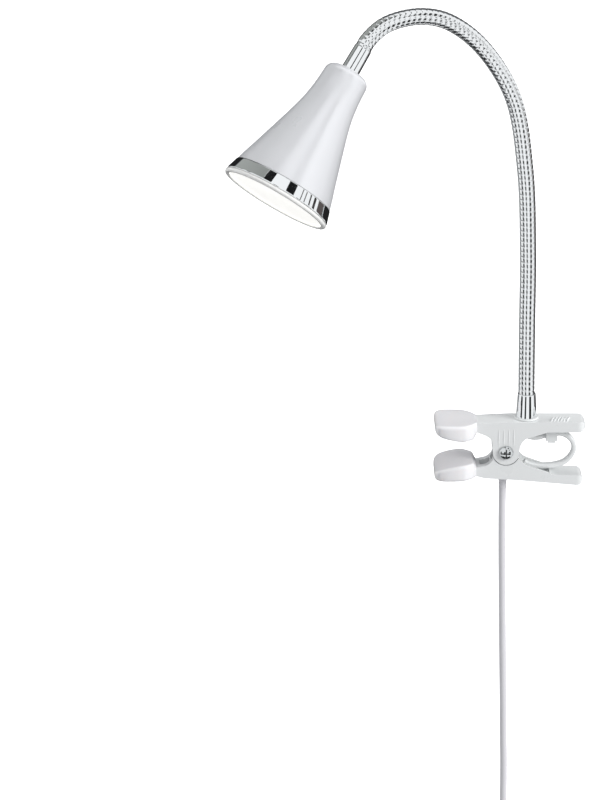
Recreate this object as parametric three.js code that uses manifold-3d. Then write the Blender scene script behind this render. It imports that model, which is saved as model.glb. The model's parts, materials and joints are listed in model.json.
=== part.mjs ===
// A clip-on reading lamp: sprung jaws with soft pads, a flexible metal neck and a trumpet-shaped lamp head,
// with the mains cord hanging from the clip.  Millimetres, +Z up.
// The origin is the middle of the upper pad's flat sole, where the lamp rests on a board's top face.
import * as THREE from 'three';
import * as BufferGeometryUtils from 'three/addons/utils/BufferGeometryUtils.js';
import Module from 'manifold-3d';

const wasm = await Module();
wasm.setup();

// ---------------------------------------------------------------- driving dimensions
const GAP = 0.3; // between neighbouring pieces
const PIVOT = [25, 0, -9]; // jaw pivot axis, which runs along Y
// From here on every place is measured from the pivot axis, half way across the clip.
const SOLE_Z = 9; // upper pad's sole
const BOARD = 15; // thickness of the board between the pads
const LEVER_WIDTH = 16.8;
const WALL = 2.2;
const CHANNEL_HALF = LEVER_WIDTH / 2 - WALL; // inside face of a lever's side wall
const EAR_RADIUS = 8;
const INNER_EAR_RADIUS = 7.6;
const INNER_EAR_HALF = CHANNEL_HALF - GAP; // outer face of the lower lever's ears
const INNER_EAR_WALL = 2.1;
const BOLT_RADIUS = 2;
const BOLT_HEAD_RADIUS = 4.4;
const PAD_WIDTH = 34;
const PAD_TIP_X = -43;
const PAD_HEEL_X = -18.5;
const DECK_Z = 19.2; // flat top of the upper lever's handle
const SPRING_THICKNESS = 3;
const SPRING_WIDTH = 5;
const HANDLE_END_X = 47.6;
const HANDLE_CORNER = 5;

const NECK_RADIUS = 4.9;
const NECK_BORE = 2.9;
const SPIGOT_RADIUS = 4.3; // neck end inside a ferrule
const SPIGOT_LENGTH = 8.6;
const STEM_X = 12.1;
const FERRULE_TOP_Z = 34.9;
const NECK_ROUTE = [
  [12.1, 0, 26.3], [11.9, 0, 34.9], [11.4, 0, 78.5], [11.0, 0, 123], [8.2, 0, 174.8], [-0.1, -0.7, 218.5],
  [-19.7, -4.9, 250.0], [-38.6, -9.7, 265.0], [-52.6, -13.4, 268.9], [-66.5, -17.6, 268.1],
  [-76.6, -21.0, 264.6], [-85.2, -25.3, 257.4], [-87.7, -27.2, 253.5], [-92.0, -30.5, 246.8],
];
const FIRST_HINGE = 21; // along the neck, from its lower end
const LAST_HINGE_FROM_END = 17;
const HINGES = 8;
const HINGE_LIP = 3; // a neck piece ends this far short of the next ball's centre
const SOCKET_RADIUS = NECK_RADIUS + 0.45;

const HEAD_AXIS = [-0.499, -0.383, -0.777]; // from the neck towards the mouth
const MOUTH_RADIUS = 33;
const SHELL = 1.6;
const HEAD_LENGTH = 101.6; // mouth to the free end of the upper ferrule
const SHADE_PROFILE = [
  [30.4, 10.2], [28.9, 15.5], [26.0, 24.6], [23.2, 33.9], [20.4, 43.2], [17.7, 52.4], [15.9, 59.5], [14.8, 65.5],
  [14.1, 71], [13.7, 76],
];
const SHADE_TOP_Z = 86.2;
const SHOULDER_RADIUS = 5.5;

const CORD_RADIUS = 2.2;
const CORD_X = -1.3;
const RELIEF_TOP_Z = -5.2;
const RELIEF_TIP_Z = -25.4;
const CORD_LEAN_X = 4.4; // how far the hanging cord drifts to the right before the switch
const SWITCH_TOP_Z = -244;
const SWITCH_LENGTH = 62;
const SWITCH_WIDTH = 27;
const SWITCH_DEPTH = 17;
const COIL_RADIUS = 26; // middle of the turns
const COIL_LAYERS = 3; // turns across the bundle, each way
const COIL_DROP = 62; // coil's centre below the switch
const PLUG_DROP = 46; // top of the plug below the coil's centre

// ---------------------------------------------------------------- materials
function finish(colour, roughness, metalness = 0) {
  return () => new THREE.MeshStandardMaterial({ color: colour, roughness, metalness });
}
const whitePlastic = finish(0xe9ebec, 0.38);
const softPad = finish(0xf1eef0, 0.3);
const chrome = finish(0xd4d6d8, 0.08, 1);
const steel = finish(0xa9adb1, 0.35, 1);
const shadePaint = finish(0xe3e5e7, 0.3, 0.25);
const opal = finish(0xfbfbf6, 0.4);
const aluminium = finish(0xb9bcc0, 0.45, 1);
const circuitBoard = finish(0xdfe6dc, 0.5);
const phosphor = finish(0xf2d873, 0.5);
const brass = finish(0xc9a65a, 0.3, 1);
const blackPlastic = finish(0x2b2c2e, 0.5);
const cordPlastic = finish(0xe8e9ea, 0.45);

// ---------------------------------------------------------------- solids, joins and cuts
function solid(geometry) {
  const bare = geometry.clone();
  bare.deleteAttribute('normal');
  bare.deleteAttribute('uv');
  const merged = BufferGeometryUtils.mergeVertices(bare, 1e-4);
  const mesh = new wasm.Mesh({
    numProp: 3,
    vertProperties: new Float32Array(merged.attributes.position.array),
    triVerts: new Uint32Array(merged.index.array),
  });
  return new wasm.Manifold(mesh);
}

function geometryOf(body) {
  const mesh = body.getMesh();
  const geometry = new THREE.BufferGeometry();
  geometry.setAttribute('position', new THREE.BufferAttribute(mesh.vertProperties.slice(), 3));
  geometry.setIndex(new THREE.BufferAttribute(mesh.triVerts.slice(), 1));
  geometry.computeVertexNormals();
  return geometry;
}

function combine(first, { add = [], cut = [] }) {
  let body = solid(first);
  for (const piece of add) body = body.add(solid(piece));
  for (const piece of cut) body = body.subtract(solid(piece));
  return geometryOf(body);
}

function box(x, y, z) {
  const geometry = new THREE.BoxGeometry(x[1] - x[0], y[1] - y[0], z[1] - z[0]);
  return geometry.translate((x[0] + x[1]) / 2, (y[0] + y[1]) / 2, (z[0] + z[1]) / 2);
}

function shapeOf(points) {
  return new THREE.Shape(points.map(([u, v]) => new THREE.Vector2(u, v)));
}

// A side outline in X and Z, given a thickness along Y.
function slab(shape, width, segments = 8) {
  const geometry = new THREE.ExtrudeGeometry(shape, {
    depth: width, bevelEnabled: false, curveSegments: segments,
  });
  return geometry.rotateX(Math.PI / 2).translate(0, width / 2, 0);
}

// A profile of [radius, height] pairs turned about Z.
function turned(profile, segments = 24) {
  const points = profile.map(([r, h]) => new THREE.Vector2(r, h));
  return new THREE.LatheGeometry(points, segments).rotateX(Math.PI / 2);
}

// A closed wall: the outer line upwards, then the inner line back down.
function turnedWall(outer, inner, segments = 24) {
  return turned([...outer, ...inner.slice().reverse(), outer[0]], segments);
}

function rod(radius, low, high, x = 0, y = 0, segments = 16) {
  const geometry = new THREE.CylinderGeometry(radius, radius, high - low, segments);
  return geometry.rotateX(Math.PI / 2).translate(x, y, (low + high) / 2);
}

// A nut blank with its flats facing +Y and -Y.
function hexagon(acrossFlats, low, high) {
  return rod(acrossFlats / Math.sqrt(3), low, high, 0, 0, 6).rotateZ(Math.PI / 6);
}

function circle(radius) {
  const shape = new THREE.Shape();
  shape.absarc(0, 0, radius, 0, 2 * Math.PI);
  return shape;
}

// An arc is drawn with two points for each curve segment, so a full circle gets its sides from half as many.
function tubeAlong(curve, radius, steps, sides) {
  return new THREE.ExtrudeGeometry(circle(radius), {
    steps, extrudePath: curve, bevelEnabled: false, curveSegments: sides / 2,
  });
}

const group = new THREE.Group();
const clip = new THREE.Group();
clip.position.set(...PIVOT);
group.add(clip);

function place(parent, name, geometry, material) {
  const mesh = new THREE.Mesh(geometry, material());
  mesh.name = name;
  parent.add(mesh);
  return mesh;
}

// ---------------------------------------------------------------- clip: the two levers
function upperLeverOutline() {
  const shape = new THREE.Shape();
  shape.moveTo(-18.2, 12.9);
  shape.lineTo(-15.3, 11.7);
  shape.quadraticCurveTo(-9, 9.6, -8.5, 6.3);
  shape.lineTo(-EAR_RADIUS, 0);
  shape.absarc(0, 0, EAR_RADIUS, Math.PI, 2 * Math.PI, false);
  shape.quadraticCurveTo(8.2, 6.6, 12.4, 8.7);
  shape.lineTo(23.1, 12.1);
  shape.quadraticCurveTo(24.6, 12.7, 26.5, 12.7);
  shape.lineTo(44, 12.7);
  shape.absarc(44.2, 15.95, 3.25, -Math.PI / 2, Math.PI / 2, false);
  shape.lineTo(2, DECK_Z);
  shape.quadraticCurveTo(-10, 18.9, -18.2, 18.1);
  return shape;
}

// The levers' handles end in rounded corners when seen from above.
function handleRounded(lever) {
  const half = LEVER_WIDTH / 2;
  const end = HANDLE_END_X - HANDLE_CORNER;
  const plan = new THREE.Shape();
  plan.moveTo(-40, -half);
  plan.lineTo(end, -half);
  plan.absarc(end, HANDLE_CORNER - half, HANDLE_CORNER, -Math.PI / 2, 0, false);
  plan.absarc(end, half - HANDLE_CORNER, HANDLE_CORNER, 0, Math.PI / 2, false);
  plan.lineTo(-40, half);
  const prism = new THREE.ExtrudeGeometry(plan, { depth: 60, bevelEnabled: false, curveSegments: 5 });
  return geometryOf(solid(lever).intersect(solid(prism.translate(0, 0, -30))));
}

function upperLever() {
  const channel = shapeOf([
    [-15, 9], [-15, 15.9], [2, 16.8], [44, 17], [44, 12.2], [24, 12.2], [12.4, 8.2], [9.5, 3], [9.5, -9], [-9.5, -9],
    [-9.5, 3], [-10.5, 8],
  ]);
  const tongue = box([-38, -18], [-6.5, 6.5], [12.9, 16.4]);
  return combine(handleRounded(slab(upperLeverOutline(), LEVER_WIDTH, 9)), {
    add: [tongue],
    cut: [
      slab(channel, 2 * CHANNEL_HALF),
      slab(circle(BOLT_RADIUS + GAP), LEVER_WIDTH + 2, 8),
      rod(SPIGOT_RADIUS, 14, 22, STEM_X),
    ],
  });
}

function lowerLeverOutline() {
  const clear = EAR_RADIUS + 0.5; // the upper ears turn inside this arc
  const from = Math.PI + 0.48;
  const to = 2 * Math.PI - 0.48;
  const shape = new THREE.Shape();
  shape.moveTo(-18.2, -9.9);
  shape.lineTo(-12.7, -8.7);
  shape.quadraticCurveTo(-9, -7.6, clear * Math.cos(from), clear * Math.sin(from));
  shape.absarc(0, 0, clear, from, to, false);
  shape.lineTo(8.8, -5);
  shape.quadraticCurveTo(10.6, -7.8, 13.3, -8.7);
  shape.lineTo(26.3, -13.5);
  shape.quadraticCurveTo(28, -14.4, 30, -14.5);
  shape.lineTo(43.2, -14.6);
  shape.absarc(43.3, -17.8, 3.2, Math.PI / 2, -Math.PI / 2, true);
  shape.lineTo(6.8, -17.8);
  shape.lineTo(-12.7, -16.6);
  shape.lineTo(-18.2, -15.1);
  return shape;
}

function innerEarOutline() {
  const shape = new THREE.Shape();
  shape.moveTo(-9.5, -12.5);
  shape.lineTo(-INNER_EAR_RADIUS, -3);
  shape.lineTo(-INNER_EAR_RADIUS, 0);
  shape.absarc(0, 0, INNER_EAR_RADIUS, Math.PI, 0, true);
  shape.lineTo(INNER_EAR_RADIUS, -3);
  shape.lineTo(9.2, -12.5);
  return shape;
}

function lowerLever() {
  const between = INNER_EAR_HALF - INNER_EAR_WALL;
  const floor = shapeOf([[-15.5, -7], [-15.5, -13.6], [-11, -14.4], [9, -15.6], [9, 9], [-9, 9], [-9, -7]]);
  const trough = shapeOf([[9, -3], [9, -15.6], [26.5, -17], [26.5, -12], [14, -7]]);
  const underside = shapeOf([[29.5, -22], [43, -22], [43, -16.8], [29.5, -16.8]]);
  const tongue = box([-38, -18], [-6.5, 6.5], [-13.4, -9.9]);
  const springSeat = box([9.4, 11.4], [-CHANNEL_HALF - 0.5, CHANNEL_HALF + 0.5], [-16.4, -10.4]);
  const body = combine(handleRounded(slab(lowerLeverOutline(), LEVER_WIDTH, 9)), {
    add: [slab(innerEarOutline(), 2 * INNER_EAR_HALF, 9), tongue],
    cut: [
      slab(floor, 2 * between),
      slab(trough, 2 * CHANNEL_HALF),
      slab(underside, 2 * CHANNEL_HALF),
      slab(circle(BOLT_RADIUS + GAP), LEVER_WIDTH, 8),
      box([-11, 8.4], [-between, between], [-20, -10]),
    ],
  });
  return combine(body, { add: [springSeat] });
}

// ---------------------------------------------------------------- clip: pads
function padPlan() {
  const half = PAD_WIDTH / 2;
  const root = 9.2;
  const corner = 5;
  const shape = new THREE.Shape();
  shape.moveTo(PAD_HEEL_X, -root);
  shape.bezierCurveTo(-21.5, -root, -21.5, -half, -28, -half);
  shape.lineTo(PAD_TIP_X + corner, -half);
  shape.absarc(PAD_TIP_X + corner, corner - half, corner, -Math.PI / 2, -Math.PI, true);
  shape.absarc(PAD_TIP_X + corner, half - corner, corner, Math.PI, Math.PI / 2, true);
  shape.lineTo(-28, half);
  shape.bezierCurveTo(-21.5, half, -21.5, root, PAD_HEEL_X, root);
  return shape;
}

function upperPad() {
  const plan = new THREE.ExtrudeGeometry(padPlan(), { depth: 12, bevelEnabled: false, curveSegments: 8 });
  const side = new THREE.Shape();
  side.moveTo(-44, 19.3);
  side.lineTo(-44, 16);
  side.quadraticCurveTo(-39, 10, -31, SOLE_Z);
  side.lineTo(-18, SOLE_Z);
  side.lineTo(-18, 18.6);
  side.quadraticCurveTo(-30, 20, -44, 19.3);
  const shaped = solid(plan.translate(0, 0, 8.6)).intersect(solid(slab(side, PAD_WIDTH + 4, 10)));
  const sleeve = box([-38.4, -17], [-6.8, 6.8], [12.6, 16.7]);
  return geometryOf(shaped.subtract(solid(sleeve)));
}

// The lower pad is the same moulding turned over, a board's thickness below.
function lowerPad() {
  const turnedOver = upperPad().rotateX(Math.PI);
  return turnedOver.translate(0, 0, 2 * SOLE_Z - BOARD);
}

// ---------------------------------------------------------------- clip: pivot, spring and fixings
function pivotBolt() {
  const face = LEVER_WIDTH / 2 + GAP;
  const profile = [
    [0, -face - 2.6], [1.6, -face - 2.45], [3, -face - 1.9], [4, -face - 1], [BOLT_HEAD_RADIUS, -face],
    [BOLT_RADIUS, -face], [BOLT_RADIUS, face + 4.2], [1.5, face + 4.7], [0, face + 4.7],
  ];
  const body = new THREE.LatheGeometry(profile.map(([r, y]) => new THREE.Vector2(r, y)), 24);
  const deep = [-face - 3, -face - 1.2];
  return combine(body, { cut: [box([-2.6, 2.6], deep, [-0.45, 0.45]), box([-0.45, 0.45], deep, [-2.6, 2.6])] });
}

function boltWasher() {
  return turnedWall([[4.6, 0], [4.6, 0.8]], [[BOLT_RADIUS + GAP, 0], [BOLT_RADIUS + GAP, 0.8]], 24);
}

function pivotNut() {
  const dome = new THREE.SphereGeometry(3.4, 16, 8).scale(1, 1, 0.95).translate(0, 0, 3.2);
  return combine(hexagon(7, 0, 3.2), { add: [dome], cut: [rod(BOLT_RADIUS + GAP, -1, 4.6)] });
}

// The anchor sits on the bolt between the ears and holds the cord's strain relief by its flange.
function cordAnchor() {
  const half = INNER_EAR_HALF - INNER_EAR_WALL - GAP;
  const outline = new THREE.Shape();
  outline.absarc(0, 0, 4.9, 0, Math.PI, false);
  outline.lineTo(-6.6, -3);
  outline.lineTo(-6.6, -9);
  outline.lineTo(4, -9);
  outline.lineTo(4.9, 0);
  return combine(slab(outline, 2 * half, 12), {
    cut: [
      slab(circle(BOLT_RADIUS + GAP), 2 * half + 2, 8),
      box([CORD_X - 3.6, CORD_X + 3.6], [-half - 1, half + 1], [-7.4, -4.9]),
      box([CORD_X - 2.9, CORD_X + 2.9], [-half - 1, half + 1], [-10, -7]),
    ],
  });
}

function bandAlong(points, thickness, width, divisions) {
  const line = new THREE.SplineCurve(points.map(([x, z]) => new THREE.Vector2(x, z)));
  const left = [];
  const right = [];
  for (let i = 0; i <= divisions; i += 1) {
    const at = line.getPointAt(i / divisions);
    const along = line.getTangentAt(i / divisions);
    left.push([at.x - along.y * thickness / 2, at.y + along.x * thickness / 2]);
    right.push([at.x + along.y * thickness / 2, at.y - along.x * thickness / 2]);
  }
  return slab(shapeOf([...right, ...left.reverse()]), width);
}

// One flat band, from its seat in the lower lever round the open end to the tongue under the handle.
function leafSpring() {
  const route = [
    [11.4, -8.4], [13.7, -9.7], [19, -11.1], [25, -11.2], [31, -10.4], [36.2, -8.2], [39.9, -4], [41.2, 0.2],
    [40.3, 4.3], [37.3, 7.8], [33.1, 9.6], [28.5, 9.6], [24, 8.6], [18.5, 6.9], [13.4, 7.7],
  ];
  return bandAlong(route, SPRING_THICKNESS, SPRING_WIDTH, 44);
}

function springRetainer() {
  const slot = SPRING_WIDTH / 2 + 0.3;
  const outside = slot + 1.2;
  return combine(box([24, 31], [-outside, outside], [4.4, 16.2]), {
    cut: [
      box([23, 32], [-slot, slot], [6.7, 17]),
      box([23, 25.2], [-outside - 1, outside + 1], [3, 5.6]),
      box([29.8, 32], [-outside - 1, outside + 1], [3, 5.6]),
    ],
  });
}

function buildClip() {
  const face = LEVER_WIDTH / 2 + GAP;
  place(clip, 'upper_lever', upperLever(), whitePlastic);
  place(clip, 'lower_lever', lowerLever(), whitePlastic);
  place(clip, 'upper_pad', upperPad(), softPad);
  place(clip, 'lower_pad', lowerPad(), softPad);
  place(clip, 'pivot_bolt', pivotBolt(), chrome);
  place(clip, 'bolt_washer', boltWasher().rotateX(-Math.PI / 2).translate(0, face, 0), steel);
  place(clip, 'pivot_nut', pivotNut().rotateX(-Math.PI / 2).translate(0, face + 1.1, 0), chrome);
  place(clip, 'cord_anchor', cordAnchor(), blackPlastic);
  place(clip, 'leaf_spring', leafSpring(), whitePlastic);
  place(clip, 'spring_retainer', springRetainer(), whitePlastic);
}

// ---------------------------------------------------------------- neck
const neckLine = new THREE.CatmullRomCurve3(NECK_ROUTE.map((p) => new THREE.Vector3(...p)), false, 'centripetal');
neckLine.arcLengthDivisions = 2000;
const neckLength = neckLine.getLength();
const hingePlaces = Array.from({ length: HINGES }, (_, i) => {
  const span = neckLength - LAST_HINGE_FROM_END - FIRST_HINGE;
  return FIRST_HINGE + span * i / (HINGES - 1);
});

function neckPoint(distance) {
  return neckLine.getPointAt(THREE.MathUtils.clamp(distance / neckLength, 0, 1));
}

function neckStretch(from, to, radius, sides = 16) {
  const steps = Math.max(2, Math.round((to - from) / 7));
  const points = Array.from({ length: steps + 1 }, (_, i) => neckPoint(from + (to - from) * i / steps));
  return tubeAlong(new THREE.CatmullRomCurve3(points, false, 'centripetal'), radius, steps, sides);
}

function ballAt(distance, radius) {
  return new THREE.SphereGeometry(radius, 16, 10).translate(...neckPoint(distance));
}

// A length of neck: a ball at its lower end sits in the socket that ends the length below it.
function neckPiece(start, end, hasBall, hasSocket) {
  const add = hasBall ? [ballAt(start, NECK_RADIUS)] : [];
  const cut = hasSocket ? [ballAt(end, SOCKET_RADIUS)] : [];
  const stop = hasSocket ? end - HINGE_LIP : end;
  return solid(combine(neckStretch(start, stop, NECK_RADIUS), { add, cut }));
}

function neckBore(from, to) {
  return solid(neckStretch(Math.max(from, 0), Math.min(to, neckLength), NECK_BORE, 8));
}

function neckRoot() {
  const outside = SPIGOT_LENGTH + GAP;
  const body = neckPiece(outside, hingePlaces[0], false, true);
  const spigot = solid(neckStretch(0, outside + 1, SPIGOT_RADIUS));
  return geometryOf(body.add(spigot).subtract(neckBore(0, hingePlaces[0] + 1)));
}

function neckTip() {
  const last = hingePlaces[HINGES - 1];
  const outside = neckLength - SPIGOT_LENGTH - GAP;
  const body = neckPiece(last, outside, true, false);
  const spigot = solid(neckStretch(outside - 1, neckLength, SPIGOT_RADIUS));
  return geometryOf(body.add(spigot).subtract(neckBore(last - 6, neckLength)));
}

function lowerFerrule() {
  const outer = [[6.15, 20.6], [6.0, 22], [5.45, FERRULE_TOP_Z - 0.6], [5.25, FERRULE_TOP_Z]];
  const inner = [[SPIGOT_RADIUS, 20.6], [SPIGOT_RADIUS, 26], [SPIGOT_RADIUS + GAP, 26], [SPIGOT_RADIUS + GAP, FERRULE_TOP_Z]];
  return turnedWall(outer, inner, 24).translate(STEM_X, 0, 0);
}

function buildNeck() {
  place(clip, 'neck_root', neckRoot(), chrome);
  for (let i = 0; i < HINGES - 1; i += 1) {
    const from = hingePlaces[i];
    const to = hingePlaces[i + 1];
    const piece = neckPiece(from, to, true, true).subtract(neckBore(from - 6, to + 1));
    place(clip, `neck_length_${i + 1}`, geometryOf(piece), chrome);
  }
  place(clip, 'neck_tip', neckTip(), chrome);
  place(clip, 'lower_ferrule', lowerFerrule(), chrome);
  const collar = turnedWall([[7.4, 19.5], [7.2, 20.3]], [[SPIGOT_RADIUS, 19.5], [SPIGOT_RADIUS, 20.3]], 24);
  place(clip, 'neck_collar', collar.translate(STEM_X, 0, 0), whitePlastic);
  const nipple = turnedWall([[4, 12.2], [4, 25.7]], [[NECK_BORE, 12.2], [NECK_BORE, 25.7]], 20);
  place(clip, 'neck_nipple', nipple.translate(STEM_X, 0, 0), brass);
  const nut = combine(hexagon(11.4, 13.2, 16.2), { cut: [rod(SPIGOT_RADIUS, 12, 17)] });
  place(clip, 'neck_nut', nut.translate(STEM_X, 0, 0), steel);
}

// ---------------------------------------------------------------- lamp head, made with its mouth at z = 0
function shoulder(radius, top, corner) {
  const points = [];
  for (let i = 0; i <= 4; i += 1) {
    const turn = Math.PI / 2 * i / 4;
    points.push([radius - corner + corner * Math.cos(turn), top - corner + corner * Math.sin(turn)]);
  }
  return points;
}

function shade() {
  const neck = SHADE_PROFILE[SHADE_PROFILE.length - 1][0];
  const outer = [...SHADE_PROFILE, ...shoulder(neck - 0.2, SHADE_TOP_Z, SHOULDER_RADIUS), [SPIGOT_RADIUS, SHADE_TOP_Z]];
  const inner = SHADE_PROFILE.filter((_, i) => i % 2 === 0).map(([r, z]) => [r - SHELL, z]);
  inner.push(...shoulder(neck - 0.2 - SHELL, SHADE_TOP_Z - SHELL, SHOULDER_RADIUS - SHELL));
  inner.push([SPIGOT_RADIUS, SHADE_TOP_Z - SHELL]);
  return turnedWall(outer, inner, 32);
}

function trimRing() {
  return turnedWall([[32.75, 2.6], [32.75, 3], [30.65, 9.9]], [[31.2, 2.6], [31.2, 3.2], [29.4, 9.9]], 32);
}

function frontBezel() {
  const outer = [
    [31.6, 0], [32.6, 0.4], [MOUTH_RADIUS, 1.2], [32.8, 2.3], [30.8, 2.3], [30.8, 3.5], [28.5, 3.5], [28.5, 10.6],
  ];
  const inner = [[30, 0], [30, 0.7], [30.5, 0.7], [30.5, 2.1], [27.3, 2.1], [27.3, 10.6]];
  return turnedWall(outer, inner, 32);
}

function diffuser() {
  return turned([[0, 0.5], [14, 0.6], [29, 0.95], [30.2, 1], [30.2, 2], [0, 2]], 32);
}

function reflector() {
  return turnedWall([[26.8, 3.6], [19, 12.6], [8.6, 24.6]], [[25.8, 3.6], [18, 12.6], [7.4, 24.6]], 32);
}

function heatSink() {
  const fins = [];
  for (let i = 0; i < 6; i += 1) {
    fins.push(box([-13, 13], [-0.7, 0.7], [31, 50]).rotateZ(Math.PI * i / 6));
  }
  return combine(rod(15.5, 29, 32, 0, 0, 28), {
    add: [rod(4, 31, 50), ...fins],
    cut: [rod(1.1, 28, 33, 11, 2.95, 10), rod(1.1, 28, 33, -11, -2.95, 10)],
  });
}

function ledBoard() {
  return combine(rod(14.2, 27.1, 28.7, 0, 0, 24), {
    cut: [rod(1.4, 26, 30, 11, 2.95, 10), rod(1.4, 26, 30, -11, -2.95, 10)],
  });
}

function boardScrew(x, y) {
  return turned([[0, 25.4], [1.4, 25.5], [2, 26.1], [2, 26.8], [0.8, 26.8], [0.8, 31.6], [0, 31.6]], 14)
    .translate(x, y, 0);
}

function shadeNut() {
  return combine(hexagon(11, 81.2, 84.2), { cut: [rod(SPIGOT_RADIUS, 80, 85.5)] });
}

function upperFerrule() {
  const outer = [[4, 78.5], [4, 86.5], [5.5, 86.5], [5.45, 88], [5.2, HEAD_LENGTH - 0.5], [5.05, HEAD_LENGTH]];
  const inner = [[NECK_BORE, 78.5], [NECK_BORE, 92.4], [SPIGOT_RADIUS + GAP, 92.4], [SPIGOT_RADIUS + GAP, HEAD_LENGTH]];
  return turnedWall(outer, inner, 24);
}

function buildHead() {
  const head = new THREE.Group();
  const axis = new THREE.Vector3(...HEAD_AXIS).normalize();
  const ferruleEnd = neckPoint(neckLength - SPIGOT_LENGTH);
  head.position.copy(ferruleEnd.addScaledVector(axis, HEAD_LENGTH));
  head.quaternion.setFromUnitVectors(new THREE.Vector3(0, 0, -1), axis);
  clip.add(head);
  place(head, 'upper_ferrule', upperFerrule(), chrome);
  place(head, 'shade', shade(), shadePaint);
  place(head, 'trim_ring', trimRing(), chrome);
  place(head, 'front_bezel', frontBezel(), opal);
  place(head, 'diffuser', diffuser(), opal);
  place(head, 'reflector', reflector(), whitePlastic);
  place(head, 'led_board', ledBoard(), circuitBoard);
  place(head, 'led_emitter', rod(5, 25.4, 26.8, 0, 0, 24), phosphor);
  place(head, 'board_screw_a', boardScrew(11, 2.95), steel);
  place(head, 'board_screw_b', boardScrew(-11, -2.95), steel);
  place(head, 'heat_sink', heatSink(), aluminium);
  place(head, 'driver_board', box([-9, 9], [-0.8, 0.8], [52, 73]), circuitBoard);
  place(head, 'driver_capacitor', rod(3.6, 56, 66, 2, 4.7, 16), blackPlastic);
  place(head, 'shade_nut', shadeNut(), steel);
}

// ---------------------------------------------------------------- mains cord, switch, coil and plug
const switchX = CORD_X + CORD_LEAN_X;
const switchLowZ = SWITCH_TOP_Z - SWITCH_LENGTH;
const coilZ = switchLowZ - COIL_DROP;
const coilOuter = COIL_RADIUS + CORD_RADIUS * COIL_LAYERS;
const coilInner = COIL_RADIUS - CORD_RADIUS * COIL_LAYERS;
const outerTurn = COIL_RADIUS + CORD_RADIUS * (COIL_LAYERS - 1);
const sideTurn = CORD_RADIUS * (COIL_LAYERS - 1);

function cordTube(points, sides = 10) {
  const line = new THREE.CatmullRomCurve3(points.map((p) => new THREE.Vector3(...p)), false, 'centripetal');
  const steps = Math.max(3, Math.round(line.getLength() / (5 * CORD_RADIUS)));
  return tubeAlong(line, CORD_RADIUS, steps, sides);
}

function strainRelief() {
  const profile = [
    [0, RELIEF_TOP_Z], [3.3, RELIEF_TOP_Z], [3.3, RELIEF_TOP_Z - 1.8], [2.6, RELIEF_TOP_Z - 1.8],
    [2.6, RELIEF_TOP_Z - 4.1], [3.1, RELIEF_TOP_Z - 4.1], [3.0, RELIEF_TOP_Z - 8], [2.45, RELIEF_TIP_Z + 0.6],
    [2.3, RELIEF_TIP_Z], [0, RELIEF_TIP_Z],
  ];
  return turned(profile.reverse(), 24).translate(CORD_X, 0, 0);
}

const HANGING_CORD = [
  [CORD_X, 0, RELIEF_TIP_Z - GAP], [CORD_X + 0.1, 0, -45], [CORD_X + 1.0, 0, -90], [CORD_X + 2.3, 0, -140],
  [CORD_X + 3.6, 0, -190], [CORD_X + 4.3, 0, -224], [switchX, 0, SWITCH_TOP_Z + GAP],
];

// Below the switch the cord leans over to meet the coil's outer turn along its tangent.
function coilLeadIn() {
  const join = 3 * Math.PI / 4;
  const touch = [switchX + outerTurn * Math.cos(join), coilZ + outerTurn * Math.sin(join)];
  const along = Math.SQRT1_2;
  const stop = 17.5;
  const end = [touch[0] + stop * along, touch[1] + stop * along];
  return [
    [switchX, 0, switchLowZ - GAP], [switchX, 0, switchLowZ - 5], [switchX - 0.9, -sideTurn * 0.35, switchLowZ - 12],
    [end[0] + 1.6, -sideTurn * 0.8, end[1] + 2.6], [end[0], -sideTurn, end[1]],
  ];
}

function ringSection() {
  const half = CORD_RADIUS * COIL_LAYERS;
  const round = 1.6;
  return [
    [coilInner, -half + round], [coilInner, half - round], [coilInner + round, half], [coilOuter - round, half],
    [coilOuter, half - round], [coilOuter, -half + round], [coilOuter - round, -half], [coilInner + round, -half],
    [coilInner, -half + round],
  ];
}

function cordCoil() {
  const ring = new THREE.LatheGeometry(ringSection().reverse().map(([r, y]) => new THREE.Vector2(r, y)), 32);
  return ring.translate(switchX, 0, coilZ);
}

function cordTie() {
  const half = CORD_RADIUS * COIL_LAYERS + GAP;
  const wall = 1.1;
  const loop = combine(box([-half - wall, half + wall], [-half - wall, half + wall], [-2.5, 2.5]), {
    cut: [box([-half, half], [-half, half], [-4, 4])],
  });
  const turn = 2.65; // where round the coil the tie sits
  return loop.translate(COIL_RADIUS, 0, 0).rotateY(-turn).translate(switchX, 0, coilZ);
}

function switchHalf(side) {
  const wide = SWITCH_WIDTH / 2;
  const outline = new THREE.Shape();
  outline.moveTo(-wide + 6, switchLowZ);
  outline.quadraticCurveTo(-wide, switchLowZ + 8, -wide, (switchLowZ + SWITCH_TOP_Z) / 2);
  outline.quadraticCurveTo(-wide, SWITCH_TOP_Z - 8, -wide + 6, SWITCH_TOP_Z);
  outline.lineTo(wide - 6, SWITCH_TOP_Z);
  outline.quadraticCurveTo(wide, SWITCH_TOP_Z - 8, wide, (switchLowZ + SWITCH_TOP_Z) / 2);
  outline.quadraticCurveTo(wide, switchLowZ + 8, wide - 6, switchLowZ);
  const depth = SWITCH_DEPTH / 2 - GAP / 2;
  const shell = slab(outline, depth, 8).translate(0, side * (depth / 2 + GAP / 2), 0);
  const wall = 1.8;
  const y = side < 0 ? [-depth + wall, 1] : [-1, depth - wall];
  const middle = (switchLowZ + SWITCH_TOP_Z) / 2;
  const hollow = box([-wide + 5, wide - 5], y, [switchLowZ + 9, SWITCH_TOP_Z - 9]);
  const cut = [hollow, rod(CORD_RADIUS + GAP, switchLowZ - 1, SWITCH_TOP_Z + 1, 0, 0, 12)];
  if (side < 0) {
    cut.push(box([-6.3, 6.3], [-12, 0], [middle - 10.3, middle + 10.3]));
  } else {
    cut.push(crossRod(1.5, 0, 12, middle + 22.5, 6), crossRod(1.5, 0, 12, middle - 22.5, -6));
  }
  return combine(shell, { cut }).translate(switchX, 0, 0);
}

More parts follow.
